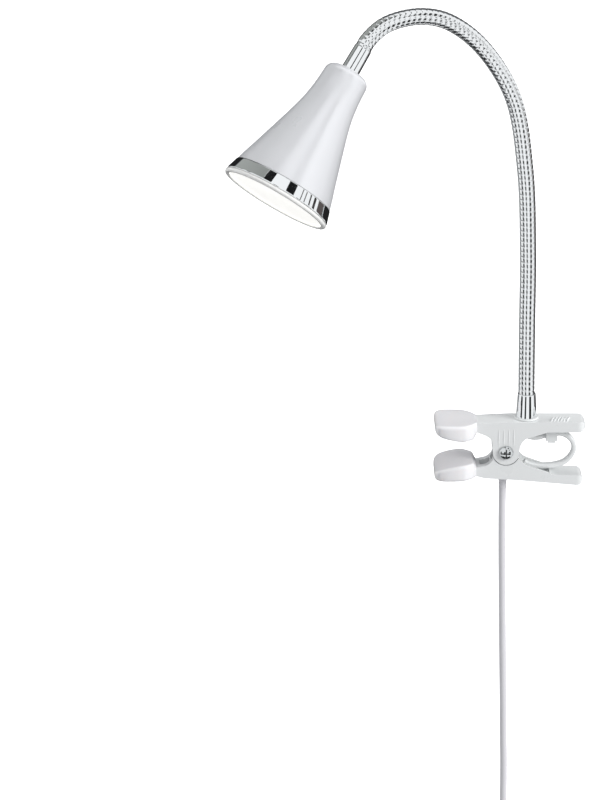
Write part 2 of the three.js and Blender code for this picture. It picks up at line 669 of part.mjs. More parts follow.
function crossRod(radius, from, to, z, x) {
  return rod(radius, from, to, 0, 0, 12).rotateX(-Math.PI / 2).translate(x, 0, z);
}

function switchRocker() {
  const shape = new THREE.Shape();
  shape.moveTo(-10, 0);
  shape.lineTo(-10, 4.4);
  shape.quadraticCurveTo(0, 2.4, 10, 4.4);
  shape.lineTo(10, 0);
  shape.quadraticCurveTo(0, -4.5, -10, 0);
  return slab(shape, 12, 8).rotateY(Math.PI / 2).rotateZ(-Math.PI / 2);
}

function switchScrew(x, z) {
  const profile = [[0, 3.6], [1.1, 3.6], [1.1, 6.6], [1.1, SWITCH_DEPTH / 2 - 0.6], [0, SWITCH_DEPTH / 2 - 0.6]];
  return turned(profile, 12).rotateX(-Math.PI / 2).translate(x + switchX, 0, z);
}

function plugBody() {
  const top = coilZ - PLUG_DROP;
  const shape = new THREE.Shape();
  shape.moveTo(-3.6, 0);
  shape.quadraticCurveTo(-4.4, -9, -11, -13);
  shape.quadraticCurveTo(-17, -17, -17.5, -24);
  shape.lineTo(-17, -35.5);
  shape.lineTo(17, -35.5);
  shape.lineTo(17.5, -24);
  shape.quadraticCurveTo(17, -17, 11, -13);
  shape.quadraticCurveTo(4.4, -9, 3.6, 0);
  const socket = CORD_RADIUS + GAP;
  const body = combine(slab(shape, 13.7, 10), {
    cut: [
      rod(socket, -6, 1, 0, 0, 12),
      rod(2.3, -37, -31, -9.3, 0, 16),
      rod(2.3, -37, -31, 9.3, 0, 16),
    ],
  });
  return body.translate(plugX, sideTurn, top);
}

function plugPin(side) {
  const top = coilZ - PLUG_DROP;
  const profile = [[0, -54.5], [1.2, -54.5], [2, -53.4], [2, -31.3], [0, -31.3]];
  return turned(profile, 16).translate(plugX + side * 9.3, sideTurn, top);
}

const plugX = switchX - outerTurn;

function buildCord() {
  place(clip, 'strain_relief', strainRelief(), cordPlastic);
  place(clip, 'supply_cord', cordTube(HANGING_CORD), cordPlastic);
  place(clip, 'switch_front', switchHalf(-1), whitePlastic);
  place(clip, 'switch_back', switchHalf(1), whitePlastic);
  const middle = (switchLowZ + SWITCH_TOP_Z) / 2;
  const rocker = place(clip, 'switch_rocker', switchRocker(), whitePlastic);
  rocker.rotation.x = THREE.MathUtils.degToRad(-6);
  rocker.position.set(switchX, -SWITCH_DEPTH / 2 + 1.5, middle);
  place(clip, 'switch_screw_a', switchScrew(6, middle + 22.5), steel);
  place(clip, 'switch_screw_b', switchScrew(-6, middle - 22.5), steel);
  place(clip, 'coil_lead', cordTube(coilLeadIn()), cordPlastic);
  place(clip, 'cord_coil', cordCoil(), cordPlastic);
  place(clip, 'cord_tie', cordTie(), blackPlastic);
  const exitTop = coilZ - 17.5;
  const plugEntry = coilZ - PLUG_DROP - 5.5;
  place(clip, 'plug_lead', cordTube([[plugX, sideTurn, exitTop], [plugX, sideTurn, plugEntry]]), cordPlastic);
  place(clip, 'plug_body', plugBody(), whitePlastic);
  place(clip, 'plug_pin_left', plugPin(-1), steel);
  place(clip, 'plug_pin_right', plugPin(1), steel);
}

buildClip();
buildNeck();
buildHead();
buildCord();

export default group;
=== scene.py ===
import json
import math

import bmesh
import bpy
import numpy as np
from bpy.props import FloatProperty, FloatVectorProperty, IntProperty, PointerProperty
from bpy.types import Operator, Panel, PropertyGroup
from mathutils import Matrix, Vector


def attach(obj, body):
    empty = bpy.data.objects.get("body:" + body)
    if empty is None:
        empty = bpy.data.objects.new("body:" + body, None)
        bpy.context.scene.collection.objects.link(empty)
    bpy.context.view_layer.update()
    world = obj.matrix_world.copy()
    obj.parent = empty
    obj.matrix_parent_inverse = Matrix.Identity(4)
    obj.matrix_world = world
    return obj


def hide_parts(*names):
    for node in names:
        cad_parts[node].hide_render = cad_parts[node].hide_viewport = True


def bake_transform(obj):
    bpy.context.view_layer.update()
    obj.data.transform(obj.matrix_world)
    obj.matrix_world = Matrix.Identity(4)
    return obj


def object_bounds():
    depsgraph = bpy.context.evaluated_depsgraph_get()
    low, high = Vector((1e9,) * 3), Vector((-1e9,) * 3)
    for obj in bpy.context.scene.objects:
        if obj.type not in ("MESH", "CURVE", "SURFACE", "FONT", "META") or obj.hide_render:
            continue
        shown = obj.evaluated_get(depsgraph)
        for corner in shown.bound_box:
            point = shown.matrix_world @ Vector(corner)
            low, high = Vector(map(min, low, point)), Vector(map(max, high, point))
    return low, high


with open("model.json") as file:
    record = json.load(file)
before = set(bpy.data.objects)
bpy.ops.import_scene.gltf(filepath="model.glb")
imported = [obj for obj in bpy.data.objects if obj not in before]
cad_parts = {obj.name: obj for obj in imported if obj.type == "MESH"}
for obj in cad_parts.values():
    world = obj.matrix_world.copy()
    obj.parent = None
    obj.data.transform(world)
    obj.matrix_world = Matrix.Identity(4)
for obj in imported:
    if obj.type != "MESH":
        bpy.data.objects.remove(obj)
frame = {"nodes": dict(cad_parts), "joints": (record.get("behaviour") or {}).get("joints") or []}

bl_info = {
    "name": "Clip-on Reading Lamp",
    "version": (1, 0, 0),
    "blender": (4, 5, 0),
    "location": "View3D > Sidebar > Reading Lamp",
    "description": "Builds the visible pieces of a clip-on reading lamp round its fixed frame",
    "category": "Add Mesh",
}

MM = 0.001
CAD_BOX = [list(corner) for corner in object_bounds()]
JOINTS = {joint["name"]: joint for joint in frame["joints"]}
PIVOT = Vector(JOINTS["jaw_pivot"]["pos_m"])

# Millimetres from the jaw pivot, X along the clip, Y across it, Z up.
NECK_ROUTE = [
    (12.1, 0, 26.3), (11.9, 0, 34.9), (11.4, 0, 78.5), (11.0, 0, 123), (8.2, 0, 174.8), (-0.1, -0.7, 218.5),
    (-19.7, -4.9, 250.0), (-38.6, -9.7, 265.0), (-52.6, -13.4, 268.9), (-66.5, -17.6, 268.1),
    (-76.6, -21.0, 264.6), (-85.2, -25.3, 257.4), (-87.7, -27.2, 253.5), (-92.0, -30.5, 246.8),
]
SPIGOT_LENGTH = 8.6
NECK_RADIUS = 4.9
NECK_BENDS = 8
STEM_X = 12.1
FERRULE_TOP_Z = 34.9
HEAD_AXIS = Vector((-0.499, -0.383, -0.777))
# Radius, and height above the head's mouth.
SHADE_PROFILE = [
    (30.4, 10.2), (28.9, 15.5), (26.0, 24.6), (23.2, 33.9), (20.4, 43.2), (17.7, 52.4), (15.9, 59.5),
    (14.8, 65.5), (14.1, 71), (13.7, 76),
]
SHELL = 1.6
SPRING_ROUTE = [
    (11.4, -8.4), (13.7, -9.7), (19, -11.1), (25, -11.2), (31, -10.4), (36.2, -8.2), (39.9, -4), (41.2, 0.2),
    (40.3, 4.3), (37.3, 7.8), (33.1, 9.6), (28.5, 9.6), (24, 8.6), (18.5, 6.9), (13.4, 7.7),
]
SPRING_HALF_WIDTH = 2.5
SPRING_HALF_THICKNESS = 1.5
# Two points above and below the band's far end, by the upper lever and by the lower one.
SPRING_BENDS = ((41, 0, 8.4), (41, 0, -9.5))
LEVER_HALF = 8.4
BOLT_FACE = LEVER_HALF + 0.3
BOLT_RADIUS = 2
BOLT_HEAD_RADIUS = 4.4
BOLT_DOME = 2.6
RECESS_REACH = 2.7
RECESS_HALF_WIDTH = 0.45
# Along the pad from its tip to its heel: X, half width, top and bottom.
PAD_SECTIONS = [
    (-43.0, 9.8, 17.4, 15.3), (-42.8, 12.2, 18.1, 14.5), (-42.2, 14.2, 18.6, 13.6), (-41.0, 15.7, 18.9, 12.6),
    (-38.5, 16.8, 19.1, 11.5), (-35, 17.0, 19.1, 10.5), (-31, 17.0, 19.05, 9.7), (-27.5, 16.9, 19.0, 9.15),
    (-24.6, 15.9, 19.0, 9.0), (-22.6, 14.3, 19.0, 9.0), (-21, 12.9, 19.0, 9.0), (-19.9, 11.8, 19.0, 9.1),
    (-19.2, 10.8, 18.95, 9.6), (-18.7, 9.8, 18.9, 10.6), (-18.1, 9.0, 18.85, 11.6), (-17.4, 8.8, 18.8, 12.0),
]
UPPER_SOLE_Z = 9
BOARD_THICKNESS = 15

CORD_X = -1.3
RELIEF_TOP_Z = -5.2
RELIEF_TIP_Z = -25.4
SWITCH_X = 3.1
SWITCH_TOP_Z = -244
COIL_Z = -368
COIL_RADIUS = 26
CORD_WIDTH = 4.4
HANGING_CORD = [
    (CORD_X, 0, -18), (CORD_X, 0, -25.7), (CORD_X + 0.1, 0, -45), (CORD_X + 0.5, 0, -68),
    (CORD_X + 1.0, 0, -90), (CORD_X + 1.6, 0, -115), (CORD_X + 2.3, 0, -140), (CORD_X + 3.0, 0, -165),
    (CORD_X + 3.6, 0, -190), (CORD_X + 4.1, 0, -207), (CORD_X + 4.3, 0, -224),
    (SWITCH_X, 0, SWITCH_TOP_Z + 0.3),
    (SWITCH_X, 0, SWITCH_TOP_Z - 20), (SWITCH_X, 0, SWITCH_TOP_Z - 41), (SWITCH_X, 0, SWITCH_TOP_Z - 62.3),
    (SWITCH_X, 0, SWITCH_TOP_Z - 67), (SWITCH_X - 0.9, -1.5, SWITCH_TOP_Z - 74),
]
# Where each turn of the coil lies in its bundle: 0 is the outer or front row, 2 the inner or back one.
TURN_CELLS = [(0, 0), (0, 1), (1, 1), (1, 0), (2, 0), (2, 1), (2, 2), (1, 2), (0, 2)]
# Degrees: where the coil's cord starts and leaves, where it first moves to its next cell, how far round it
# goes from one such move to the next, and over how much of a turn it moves.
COIL_STARTS = 135
COIL_LEAVES = 180
FIRST_MOVE = 330
MOVE_STEP = 335
MOVE_EASE = 90


# ---------------------------------------------------------------- colours, sizes and nodes
def linear(colour):
    """The linear RGBA of an sRGB hex value."""
    parts = [int(colour[i:i + 2], 16) / 255 for i in (1, 3, 5)]
    return tuple(c / 12.92 if c <= 0.04045 else ((c + 0.055) / 1.055) ** 2.4 for c in parts) + (1.0,)


def place(x, y, z):
    """A point given in millimetres from the jaw pivot, in the row frame."""
    return PIVOT + Vector((x, y, z)) * MM


def per(size_mm):
    """A texture scale, on Object coordinates in metres, whose pattern repeats at that size."""
    return 1 / (size_mm * MM)


def add(tree, kind, inputs=None, **settings):
    """Adds a node with its settings, and gives its inputs values or links."""
    made = tree.nodes.new(kind)
    for name, value in settings.items():
        setattr(made, name, value)
    for name, value in (inputs or {}).items():
        if isinstance(value, bpy.types.NodeSocket):
            tree.links.new(value, made.inputs[name])
        else:
            made.inputs[name].default_value = value
    return made


# ---------------------------------------------------------------- materials
def material(name, colour, roughness, metallic=0.0, spread=0.06, tone=0.05, patch_mm=14.0, grain_mm=0.5,
             grain_um=4.0, stretch=(1, 1, 1), **shader):
    """A moulded, plated or painted surface: tone drifts over patches, and a fine grain breaks up its gloss.

    spread and tone are how far roughness and brightness drift, and grain_um is the grain's depth.
    """
    made = bpy.data.materials.new(name)
    made.use_nodes = True
    tree = made.node_tree
    tree.nodes.clear()
    where = add(tree, "ShaderNodeTexCoord").outputs["Object"]
    mapped = add(tree, "ShaderNodeMapping", {"Vector": where, "Scale": stretch}).outputs["Vector"]
    patches = add(tree, "ShaderNodeTexNoise", {"Vector": where, "Scale": per(patch_mm), "Detail": 4.0})
    grain = add(tree, "ShaderNodeTexNoise", {"Vector": mapped, "Scale": per(grain_mm), "Detail": 3.0})
    base = linear(colour)
    dark = tuple(c * (1 - tone) for c in base[:3]) + (1.0,)
    light = tuple(min(1.0, c * (1 + tone)) for c in base[:3]) + (1.0,)
    hue = add(tree, "ShaderNodeMix", {0: patches.outputs["Fac"], 6: dark, 7: light}, data_type="RGBA")
    rough = add(tree, "ShaderNodeMapRange", {
        "Value": patches.outputs["Fac"], "From Min": 0.3, "From Max": 0.7,
        "To Min": max(0.02, roughness - spread), "To Max": roughness + spread,
    })
    bump = add(tree, "ShaderNodeBump", {
        "Strength": 1.0, "Distance": grain_um * 1e-6, "Height": grain.outputs["Fac"],
    })
    inputs = {
        "Base Color": hue.outputs[2], "Roughness": rough.outputs["Result"], "Metallic": metallic,
        "Normal": bump.outputs["Normal"],
    }
    inputs.update({key.replace("_", " ").title(): value for key, value in shader.items()})
    out = add(tree, "ShaderNodeBsdfPrincipled", inputs)
    add(tree, "ShaderNodeOutputMaterial", {"Surface": out.outputs["BSDF"]})
    return made


MATERIALS = {}
OPAL = dict(
    tone=0.01, grain_mm=0.9, grain_um=3, subsurface_weight=0.3, subsurface_radius=(0.003, 0.003, 0.003),
    subsurface_scale=1.0, coat_weight=0.3, coat_roughness=0.1)
# Each finish: its name, its colour or the user's colour that sets it, its roughness, and where it differs
# from the usual moulding.
FINISHES = {
    # Moulded ABS from a satin tool: bright, slightly cool, with broad soft highlights.
    "lever_plastic": ("abs_satin_moulded", "lever", 0.3, dict(
        tone=0.012, spread=0.04, grain_mm=0.6, grain_um=3, coat_weight=0.25, coat_roughness=0.2)),
    # Powder-coated spring steel: thick, smooth coat that rounds every edge.
    "spring_coating": ("spring_steel_powder_coated", "lever", 0.33, dict(
        tone=0.015, grain_mm=0.7, grain_um=6, coat_weight=0.15, coat_roughness=0.25)),
    # Soft silicone, moulded and glossy: light sinks in a little, so its edges glow.
    "pad_rubber": ("silicone_moulded", "pad", 0.2, dict(
        tone=0.01, spread=0.05, grain_mm=1.2, grain_um=6, subsurface_weight=0.35, subsurface_scale=1.0,
        subsurface_radius=(0.004, 0.0037, 0.0035), coat_weight=0.4, coat_roughness=0.12)),
    # Chromium plate over polished steel: a mirror with a faint ripple from polishing.
    "bright_chrome": ("steel_bright_chromed", "#E9EBEC", 0.05, dict(
        metallic=1.0, tone=0.02, spread=0.02, patch_mm=5, grain_mm=3, grain_um=2.5)),
    # Cold-headed steel, barrel chromed: softer than the ferrules' plate.
    "bolt_chrome": ("steel_barrel_chromed", "#CDD0D1", 0.11, dict(
        metallic=1.0, tone=0.04, spread=0.04, patch_mm=2, grain_mm=0.5, grain_um=2)),
    # Painted shade: a dark grey steel for the inside of the driver's recess, standing in for the shade that
    # falls there.
    "recess_painted_shade": ("steel_recess_painted_shade", "#77797A", 0.5, dict(
        metallic=0.8, tone=0.2, patch_mm=1, grain_mm=0.3, grain_um=4)),
    # Wound steel strip, chromed: as bright, but rubbed a little duller.
    "neck_chrome": ("wound_strip_chromed", "#E6E8E9", 0.13, dict(
        metallic=1.0, tone=0.05, spread=0.05, patch_mm=3, grain_mm=0.8, grain_um=3)),
    # Zinc-plated steel: grey and cloudy.
    "zinc_steel": ("steel_zinc_plated", "#AEB2B6", 0.34, dict(
        metallic=1.0, tone=0.1, spread=0.08, patch_mm=1.6, grain_mm=0.4, grain_um=4)),
    # Turned brass, left raw: fine rings from the tool.
    "brass": ("brass_turned", "#C8A45C", 0.28, dict(
        metallic=1.0, tone=0.08, patch_mm=2, grain_mm=0.5, grain_um=5, stretch=(0.2, 0.2, 3))),
    # Moulded nylon: dark, dull, with a coarse tool texture.
    "dark_nylon": ("nylon_moulded_dark", "#2C2D30", 0.5, dict(tone=0.12, grain_mm=0.5, grain_um=14)),
    # Silvery white lacquer sprayed on spun metal: soft highlights with a trace of orange peel.
    "shade_lacquer": ("lacquer_sprayed_pearl", "shade", 0.3, dict(
        metallic=0.2, tone=0.015, spread=0.03, patch_mm=22, grain_mm=1.6, grain_um=7, coat_weight=0.35,
        coat_roughness=0.3)),
    # Opal acrylic, injection moulded: milky.
    "opal_plastic": ("acrylic_opal_moulded", "#FBFBF8", 0.22, OPAL),
    # The same for the lens, which carries the light of the lamp itself.
    "lens": ("acrylic_opal_lit", "#FBFBF8", 0.22, dict(
        OPAL, emission_color=linear("#FFFEFA"), emission_strength=0.75)),
    # High-reflectance polycarbonate: matt, very white.
    "reflector_plastic": ("polycarbonate_white_moulded", "#F2F3F3", 0.45, dict(
        tone=0.02, grain_mm=0.6, grain_um=6)),
    # Solder-masked glass laminate: satin white mask over a woven base.
    "circuit_board": ("glass_laminate_masked", "#DCE5DC", 0.42, dict(
        tone=0.08, patch_mm=1.5, grain_mm=0.35, grain_um=10)),
    # Phosphor in silicone: yellow, rubbery and grainy.
    "phosphor": ("phosphor_silicone_cast", "#EFCB5E", 0.4, dict(
        tone=0.1, patch_mm=0.8, grain_mm=0.3, grain_um=12)),
    # Die-cast aluminium: grey with a sandy skin.
    "heat_sink_metal": ("aluminium_die_cast", "#B4B8BC", 0.42, dict(
        metallic=1.0, tone=0.1, spread=0.1, patch_mm=2.5, grain_mm=0.4, grain_um=16)),
    # Extruded PVC sheath: faintly lilac white, with draw lines along it.
    "cord_pvc": ("pvc_extruded", "cord", 0.34, dict(
        tone=0.03, patch_mm=9, grain_mm=0.9, grain_um=9, stretch=(1, 1, 0.12), coat_weight=0.1,
        coat_roughness=0.25)),
    # Moulded urea plastic of switch and plug: hard, glossy and a touch warmer than the clip.
    "switch_plastic": ("urea_plastic_moulded", "#E9E9E7", 0.27, dict(
        tone=0.015, spread=0.04, grain_um=3, coat_weight=0.3, coat_roughness=0.15)),
    # Nickel-plated brass pins: warm grey, brushed along their length by use.
    "nickel_pins": ("brass_nickel_plated", "#C2BFB8", 0.2, dict(
        metallic=1.0, spread=0.07, tone=0.06, patch_mm=2, grain_mm=0.3, grain_um=3, stretch=(1, 1, 0.1))),
}


def build_materials(colours):
    """Makes every finish, with the colours that the user has set."""
    for slot, (name, colour, roughness, rest) in FINISHES.items():
        MATERIALS[slot] = material(name, colours.get(colour, colour), roughness, **rest)


# ---------------------------------------------------------------- making and keeping pieces
def new_object(name, vertices, faces):
    """A mesh object in the row frame."""
    mesh = bpy.data.meshes.new(name)
    mesh.from_pydata([tuple(v) for v in vertices], [], faces)
    mesh.update()
    made = bpy.data.objects.new(name, mesh)
    bpy.context.scene.collection.objects.link(made)
    return made


def outward(mesh):
    """Merges doubled points and turns every face outward."""
    bm = bmesh.new()
    bm.from_mesh(mesh)
    bmesh.ops.remove_doubles(bm, verts=bm.verts, dist=1e-7)
    bmesh.ops.recalc_face_normals(bm, faces=bm.faces)
    bm.to_mesh(mesh)
    bm.free()


def settle(made):
    """Applies the object's modifiers, so that a plain mesh is left."""
    bpy.context.view_layer.update()
    graph = bpy.context.evaluated_depsgraph_get()
    mesh = bpy.data.meshes.new_from_object(made.evaluated_get(graph), preserve_all_data_layers=True,
                                           depsgraph=graph)
    mesh.name = made.name
    made.modifiers.clear()
    made.data = mesh
    return made


def smooth(made, angle=38):
    """Shades the object smooth, but sharp where its faces meet at more than the angle, in degrees."""
    made.data.shade_smooth()
    made.data.set_sharp_from_angle(angle=math.radians(angle))
    return made


def keep(made, body, slot, *nodes, finish=None):
    """Gives a finished piece the material of its slot and its body, and hides the CAD nodes that it stands
    for.
    """
    made.data.materials.clear()
    made.data.materials.append(MATERIALS[finish or slot])
    if body:
        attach(made, body)
    if nodes:
        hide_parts(*nodes)
    return made


def finish_nodes(slots):
    """CAD nodes whose shape is right get the material of their slot."""
    for node, slot in slots.items():
        carried = frame["nodes"][node]
        carried.data.materials.clear()
        carried.data.materials.append(MATERIALS[slot])


def merged_copy(node, name):
    """A copy of a CAD node's mesh with its loose triangles joined into whole faces."""
    bm = bmesh.new()
    bm.from_mesh(frame["nodes"][node].data)
    bmesh.ops.remove_doubles(bm, verts=bm.verts, dist=2e-6)
    bmesh.ops.dissolve_limit(bm, angle_limit=math.radians(1.5), verts=bm.verts, edges=bm.edges)
    bm.verts.index_update()
    vertices = [v.co.copy() for v in bm.verts]
    faces = [[v.index for v in f.verts] for f in bm.faces]
    bm.free()
    return new_object(name, vertices, faces)


def eased(made, radius_mm, segments=3, angle=32):
    """Rounds the edges of a moulding, and keeps its flats flat in the light."""
    bevel = made.modifiers.new("edges", "BEVEL")
    bevel.width = radius_mm * MM
    bevel.segments = segments
    bevel.limit_method = "ANGLE"
    bevel.angle_limit = math.radians(angle)
    bevel.miter_outer = "MITER_ARC"
    bevel.use_clamp_overlap = True
    made.data.shade_smooth()
    normals = made.modifiers.new("flats", "WEIGHTED_NORMAL")
    normals.keep_sharp = True
    return settle(made)


def eased_piece(node, name, slot, radius_mm, segments, angle=32, body="clip_frame", finish=None):
    """A CAD node's own shape with eased edges, as a finished piece."""
    return keep(eased(merged_copy(node, name), radius_mm, segments, angle), body, slot, node, finish=finish)


def carve(made, cutters):
    """Cuts boxes out of a piece."""
    for cutter in cutters:
        cut = made.modifiers.new("cut", "BOOLEAN")
        cut.operation = "DIFFERENCE"
        cut.solver = "EXACT"
        cut.object = cutter
    settle(made)
    for cutter in cutters:
        bpy.data.objects.remove(cutter)
    return made


def rounded(profile, radius, steps=4):
    """The profile with its corners turned into arcs, so that each one catches a thin highlight."""
    points = []
    for i, here in enumerate(profile):
        here = Vector(here)
        if i in (0, len(profile) - 1):
            points.append(here)
            continue
        before, after = Vector(profile[i - 1]) - here, Vector(profile[i + 1]) - here
        reach = min(radius, before.length * 0.45, after.length * 0.45)
        first, last = here + before.normalized() * reach, here + after.normalized() * reach
        for k in range(steps + 1):
            t = k / steps
            points.append(first * (1 - t) ** 2 + here * 2 * t * (1 - t) + last * t * t)
    return points


def turned(name, profile, matrix, segments=96):
    """A profile of (radius, height) turned about its axis and set in place by matrix.

    A closed profile has no pole.
    """
    closed = (Vector(profile[0]) - Vector(profile[-1])).length < 1e-9
    rings = list(profile[:-1] if closed else profile)
    vertices, rows = [], []
    for r, z in rings:
        if r < 1e-9:
            rows.append([len(vertices)] * segments)
            vertices.append(matrix @ (Vector((0, 0, z)) * MM))
            continue
        rows.append(list(range(len(vertices), len(vertices) + segments)))
        for k in range(segments):
            turn = 2 * math.pi * k / segments
            vertices.append(matrix @ (Vector((r * math.cos(turn), r * math.sin(turn), z)) * MM))
    faces = []
    for a, b in zip(rows, rows[1:] + rows[:1] if closed else rows[1:]):
        for k in range(segments):
            ring = [a[k], a[(k + 1) % segments], b[(k + 1) % segments], b[k]]
            face = list(dict.fromkeys(ring))
            if len(face) > 2:
                faces.append(face)
    made = new_object(name, vertices, faces)
    outward(made.data)
    return smooth(made)


def arc(centre, radius, start, end, steps):
    """Points of an arc in a profile, angles in degrees."""
    angles = [math.radians(start + (end - start) * k / steps) for k in range(steps + 1)]
    return [(centre[0] + radius * math.cos(a), centre[1] + radius * math.sin(a)) for a in angles]


def centripetal(points, steps):
    """A smooth line through the points, with that many steps between each pair."""
    knots = [Vector(p) for p in points]
    knots = [knots[0] * 2 - knots[1]] + knots + [knots[-1] * 2 - knots[-2]]
    line = []
    for p0, p1, p2, p3 in zip(knots, knots[1:], knots[2:], knots[3:]):
        d0, d1, d2 = (math.sqrt((b - a).length) for a, b in ((p0, p1), (p1, p2), (p2, p3)))
        t1 = ((p1 - p0) / d0 - (p2 - p0) / (d0 + d1) + (p2 - p1) / d1) * d1
        t2 = ((p2 - p1) / d1 - (p3 - p1) / (d1 + d2) + (p3 - p2) / d2) * d1
        for k in range(steps):
            t = k / steps
            line.append(p1 + t1 * t + (p2 * 3 - p1 * 3 - t1 * 2 - t2) * t * t
                        + (p1 * 2 - p2 * 2 + t1 + t2) * t * t * t)
    return line + [knots[-2]]


def lofted(name, vertices, count):
    """A body through rings of that many points each, closed at both ends."""
    last = len(vertices) - count
    faces = [[low + k, low + (k + 1) % count, low + count + (k + 1) % count, low + count + k]
             for low in range(0, last, count) for k in range(count)]
    faces += [list(range(count)), list(range(last, last + count))]
    made = new_object(name, vertices, faces)
    outward(made.data)
    return made


def swept(name, centres, section, across):
    """A band: the section, in millimetres across and through, carried along the centres."""
    vertices = []
    for i, centre in enumerate(centres):
        along = (centres[min(i + 1, len(centres) - 1)] - centres[max(i - 1, 0)]).normalized()
        through = along.cross(across).normalized()
        vertices += [centre + (across * u + through * v) * MM for u, v in section]
    return lofted(name, vertices, len(section))


def block(x, y, z):
    """A box between those limits, in millimetres from the pivot."""
    corners = [place(a, b, c) for a in x for b in y for c in z]
    faces = [[0, 1, 3, 2], [4, 6, 7, 5], [0, 4, 5, 1], [2, 3, 7, 6], [0, 2, 6, 4], [1, 5, 7, 3]]
    return new_object("block", corners, faces)


def joined(name, parts):
    """Several meshes as one piece."""
    bm = bmesh.new()
    for part in parts:
        bm.from_mesh(part.data)
    made = new_object(name, [], [])
    bm.to_mesh(made.data)
    bm.free()
    for part in parts:
        bpy.data.objects.remove(part)
    return made


# ---------------------------------------------------------------- trees for what repeats
def open_tree(name, inputs):
    """An empty geometry tree with named inputs: (name, socket type, default) each."""
    tree = bpy.data.node_groups.new(name, "GeometryNodeTree")
    tree.interface.new_socket("Geometry", in_out="INPUT", socket_type="NodeSocketGeometry")
    for label, kind, default in inputs:
        socket = tree.interface.new_socket(label, in_out="INPUT", socket_type=kind)
        if default is not None:
            socket.default_value = default
    tree.interface.new_socket("Geometry", in_out="OUTPUT", socket_type="NodeSocketGeometry")
    return tree, add(tree, "NodeGroupInput").outputs


def close_tree(tree, geometry, finish):
    """Ends a tree: instances made real, material set."""
    whole = add(tree, "GeometryNodeRealizeInstances", {"Geometry": geometry})
    coated = add(tree, "GeometryNodeSetMaterial", {"Geometry": whole.outputs[0], "Material": finish})
    add(tree, "NodeGroupOutput", {"Geometry": coated.outputs[0]})
    return tree


def run_tree(made, tree, values):
    """Runs a tree on an object with these named inputs, and leaves a plain mesh."""
    modifier = made.modifiers.new(tree.name, "NODES")
    modifier.node_group = tree
    sockets = {s.name: s.identifier for s in tree.interface.items_tree if s.in_out == "INPUT"}
    for label, value in values.items():
        modifier[sockets[label]] = value
    return settle(made)


def math_node(tree, operation, a, b=0.0):
    """One step of arithmetic on values or links."""
    return add(tree, "ShaderNodeMath", {0: a, 1: b}, operation=operation).outputs[0]


def winding_tree():
    """A tube along a line whose wall is wound strip: crests, with a groove between one turn and the next."""
    tree, given = open_tree("strip_winding", [
        ("Radius", "NodeSocketFloat", 0.0049), ("Pitch", "NodeSocketFloat", 0.0032),
        ("Groove", "NodeSocketFloat", 0.0003), ("Crown", "NodeSocketFloat", 0.0001),
        ("Rows", "NodeSocketInt", 12), ("Sides", "NodeSocketInt", 36),
        ("Finish", "NodeSocketMaterial", None),
    ])
    curve = add(tree, "GeometryNodeMeshToCurve", {"Mesh": given["Geometry"]}).outputs[0]
    step = math_node(tree, "DIVIDE", given["Pitch"], given["Rows"])
    curve = add(tree, "GeometryNodeResampleCurve", {"Curve": curve, "Length": step}, mode="LENGTH").outputs[0]
    length = add(tree, "GeometryNodeSplineParameter").outputs["Length"]
    curve = add(tree, "GeometryNodeStoreNamedAttribute", {
        "Geometry": curve, "Name": "along", "Value": length,
    }, data_type="FLOAT", domain="POINT").outputs[0]
    ring = add(tree, "GeometryNodeCurvePrimitiveCircle", {
        "Resolution": given["Sides"], "Radius": given["Radius"],
    }).outputs[0]
    share = add(tree, "GeometryNodeSplineParameter").outputs["Factor"]
    ring = add(tree, "GeometryNodeStoreNamedAttribute", {
        "Geometry": ring, "Name": "round", "Value": share,
    }, data_type="FLOAT", domain="POINT").outputs[0]
    tube = add(tree, "GeometryNodeCurveToMesh", {"Curve": curve, "Profile Curve": ring}).outputs[0]
    along = add(tree, "GeometryNodeInputNamedAttribute", {"Name": "along"}, data_type="FLOAT").outputs[0]
    round_it = add(tree, "GeometryNodeInputNamedAttribute", {"Name": "round"}, data_type="FLOAT").outputs[0]
    turn = math_node(tree, "ADD", math_node(tree, "DIVIDE", along, given["Pitch"]), round_it)
    saw = math_node(tree, "SUBTRACT", math_node(tree, "MULTIPLY", math_node(tree, "FRACT", turn), 2.0), 1.0)
    side = math_node(tree, "ABSOLUTE", saw)
    valley = math_node(tree, "MULTIPLY", math_node(tree, "POWER", side, 10.0), given["Groove"])
    bulge = math_node(tree, "MULTIPLY", math_node(tree, "POWER", side, 2.0), given["Crown"])
    sink = math_node(tree, "ADD", valley, bulge)
    inward = add(tree, "ShaderNodeVectorMath", {
        0: add(tree, "GeometryNodeInputNormal").outputs[0], "Scale": math_node(tree, "MULTIPLY", sink, -1.0),
    }, operation="SCALE").outputs[0]
    wound = add(tree, "GeometryNodeSetPosition", {"Geometry": tube, "Offset": inward}).outputs[0]
    return close_tree(tree, wound, given["Finish"])


def ridge_tree():
    """A row of rounded bars, one at each of a number of even steps."""
    tree, given = open_tree("ridge_row", [
        ("Count", "NodeSocketInt", 6), ("First", "NodeSocketVector", (0, 0, 0)),
        ("Step", "NodeSocketVector", (0, 0, 0)), ("Size", "NodeSocketVector", (0.001, 0.001, 0.001)),
        ("Turn", "NodeSocketVector", (0, 0, 0)), ("Finish", "NodeSocketMaterial", None),
    ])
    points = add(tree, "GeometryNodeMeshLine", {
        "Count": given["Count"], "Start Location": given["First"], "Offset": given["Step"],
    }, mode="OFFSET").outputs[0]
    bar = add(tree, "GeometryNodeMeshUVSphere", {"Segments": 10, "Rings": 7, "Radius": 0.5}).outputs[0]
    bars = add(tree, "GeometryNodeInstanceOnPoints", {
        "Points": points, "Instance": bar, "Scale": given["Size"], "Rotation": given["Turn"],
    }).outputs[0]
    whole = add(tree, "GeometryNodeRealizeInstances", {"Geometry": bars}).outputs[0]
    shaded = add(tree, "GeometryNodeSetShadeSmooth", {0: whole}).outputs[0]
    return close_tree(tree, shaded, given["Finish"])


